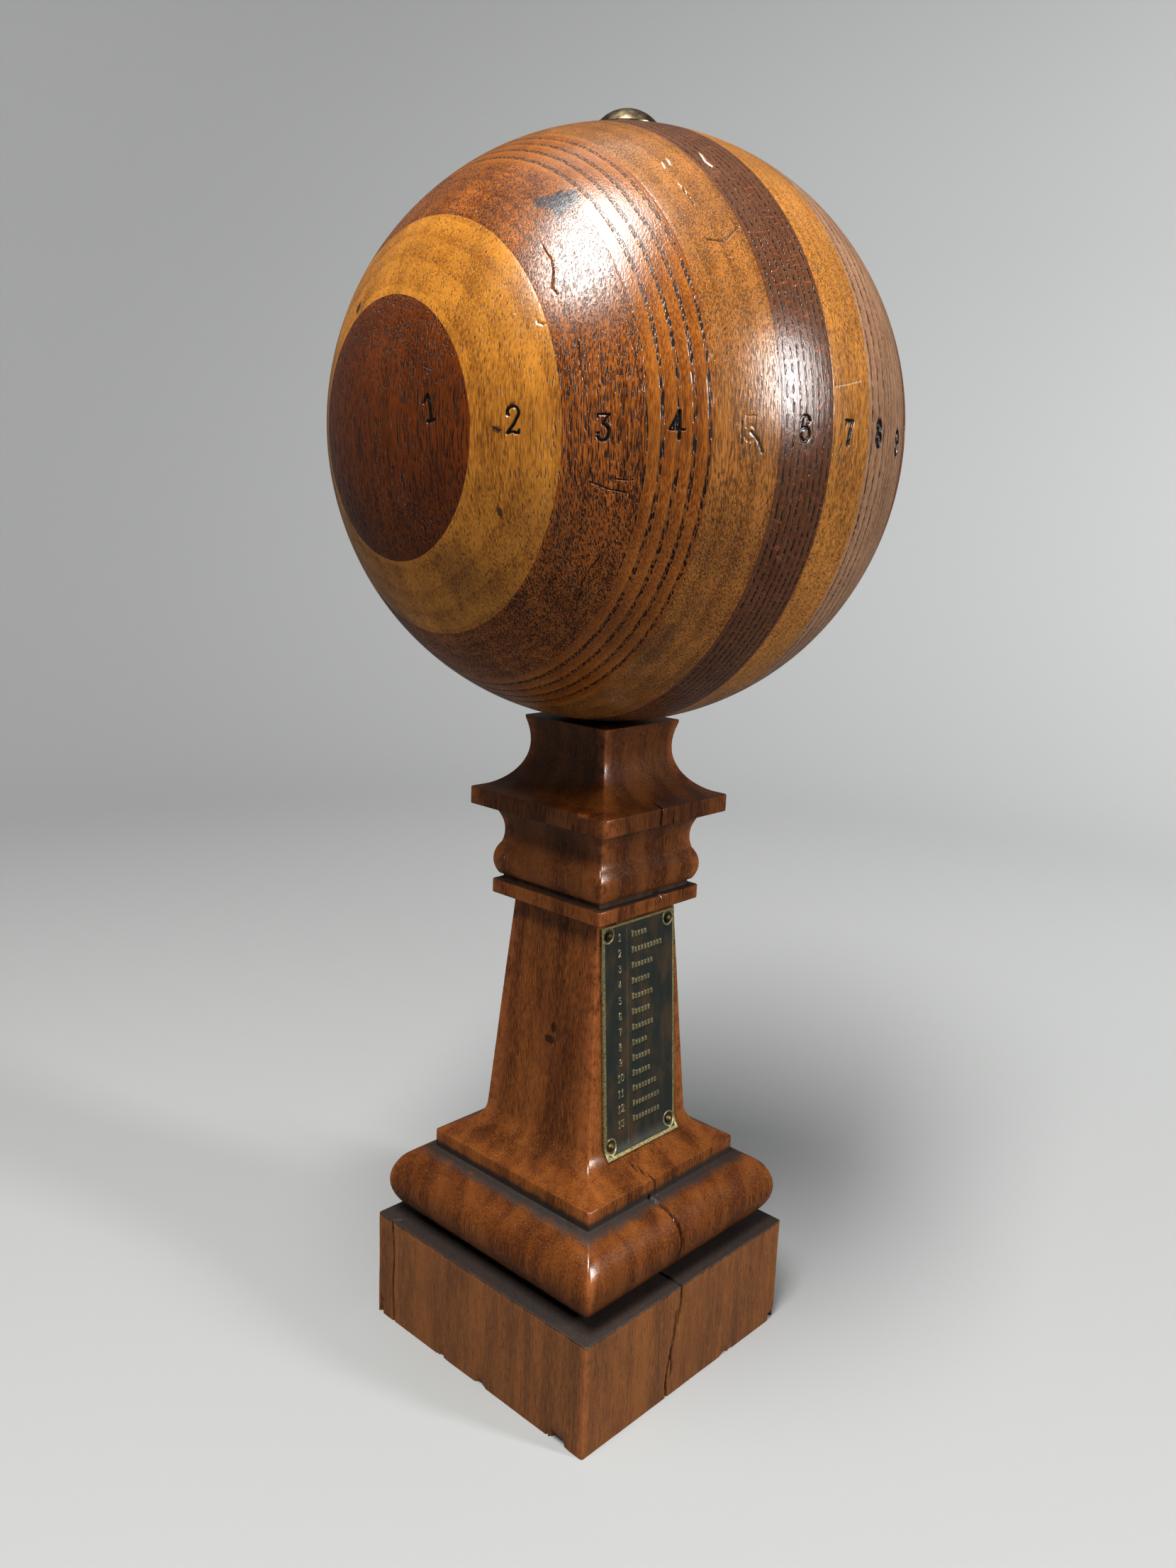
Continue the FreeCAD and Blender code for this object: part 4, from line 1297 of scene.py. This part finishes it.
def dress_hardware():
    """Give the CAD's own turned and bought-in metal pieces their finish."""
    cap = metal_material("patinated_brass", (164, 148, 120), (92, 76, 56), 0.18, 0.52)
    pins = metal_material("dull_brass", (124, 106, 70), (58, 50, 36), 0.4)
    steel = metal_material("plain_steel", (150, 148, 144), (88, 80, 72), 0.3)
    finishes = {"cap_nut": cap, "cap_washer": cap, "plate_pins": pins}
    finishes.update(dict.fromkeys(("spindle", "foot_washer", "foot_nut"), steel))
    for node, material in finishes.items():
        for mesh_slot in frame["nodes"][node].material_slots:
            mesh_slot.material = material


# --- Studio ---

PAPER = (0.295, 0.3, 0.3, 1.0)
LENS = 28.29
SENSOR = 36.0
CAMERA_PLACE = (-0.33213, -0.30211, 0.32125)
CAMERA_HEADING = radians(47.157)
CAMERA_DIP = radians(12.358)
CAMERA_ROLL = radians(2.354)


def make_backdrop():
    """A pale studio bowl: a flat floor that curves up into a wall all the way round."""
    flat, curve, wall = 0.95, 0.75, 2.0
    outline = [(radius, 0.0) for radius in np.linspace(0.02, flat, 12)]
    for angle in np.linspace(0.0, pi / 2, 17)[1:]:
        outline.append((flat + curve * sin(angle), curve - curve * cos(angle)))
    outline.append((flat + curve, wall))
    bowl = lathe("studio_bowl", outline, 96, hollow=True)
    bowl.data.shade_smooth()
    bowl.data.materials.append(Shader("studio_paper").finish(PAPER, 0.8))
    bowl.visible_glossy = False


def add_softbox(name, direction, distance, size, power, tint=(1.0, 1.0, 1.0), aim=None):
    """A soft lamp that faces the ball, or the place that it is aimed at."""
    lamp = bpy.data.lights.new(name, "AREA")
    lamp.shape = "RECTANGLE"
    lamp.size, lamp.size_y = size
    lamp.energy = power
    lamp.color = tint
    holder = bpy.data.objects.new(name, lamp)
    bpy.context.scene.collection.objects.link(holder)
    toward = Vector(direction).normalized()
    holder.location = Vector(BALL_CENTRE) + toward * distance
    if aim is not None:
        toward = holder.location - Vector(aim)
        lamp.spread = radians(100.0)
    holder.rotation_euler = toward.to_track_quat("Z", "Y").to_euler()


def light_studio():
    """A dim sky, one large lamp over the ball, one tall lamp in front, and soft washes on the bowl."""
    world = bpy.data.worlds.new("studio_air")
    world.use_nodes = True
    background = world.node_tree.nodes["Background"]
    background.inputs["Color"].default_value = (0.95, 0.98, 1.0, 1.0)
    background.inputs["Strength"].default_value = 0.1
    bpy.context.scene.world = world
    bpy.context.scene.view_settings.view_transform = "Standard"
    bpy.context.scene.view_settings.look = "Medium High Contrast"
    add_softbox("overhead_box", (-0.43, -0.16, 0.89), 1.25, (0.34, 0.82), 37.0, (1.0, 0.99, 0.97))
    add_softbox("front_box", (0.29, -0.89, 0.3), 1.4, (0.18, 0.5), 15.5)
    add_softbox("wall_wash", (0.3, -0.5, 1.0), 1.2, (0.5, 0.5), 9.0, aim=(1.6, 0.1, 0.4))
    add_softbox("left_wash", (0.1, -0.3, 1.0), 1.2, (0.5, 0.5), 2.2, aim=(0.3, 1.6, 0.9))
    add_softbox("rear_wash", (0.1, 0.3, 1.0), 1.2, (0.5, 0.5), 3.0, aim=(-1.2, -1.2, 0.8))
    add_softbox("ceiling_box", (0.0, 0.0, 1.0), 1.45, (1.4, 1.4), 2.3)


def place_camera():
    """The camera stands a little above the ball's middle, looks down and is rolled slightly."""
    heading, dip, roll = CAMERA_HEADING, CAMERA_DIP, CAMERA_ROLL
    forward = Vector((sin(heading) * cos(dip), cos(heading) * cos(dip), -sin(dip)))
    right = forward.cross(Vector((0, 0, 1))).normalized()
    up = right.cross(forward)
    rolled_right = right * cos(roll) + up * sin(roll)
    rolled_up = up * cos(roll) - right * sin(roll)
    turn = Matrix([rolled_right, rolled_up, -forward]).transposed()
    data = bpy.data.cameras.new("camera")
    data.lens = LENS
    data.sensor_width = SENSOR
    camera = bpy.data.objects.new("camera", data)
    bpy.context.scene.collection.objects.link(camera)
    camera.matrix_world = Matrix.Translation(CAMERA_PLACE) @ turn.to_4x4()
    bpy.context.scene.camera = camera


place_camera()
light_studio()
make_backdrop()
make_ball()
make_pedestal(pedestal_material())
make_name_plate(plate_material())
dress_hardware()
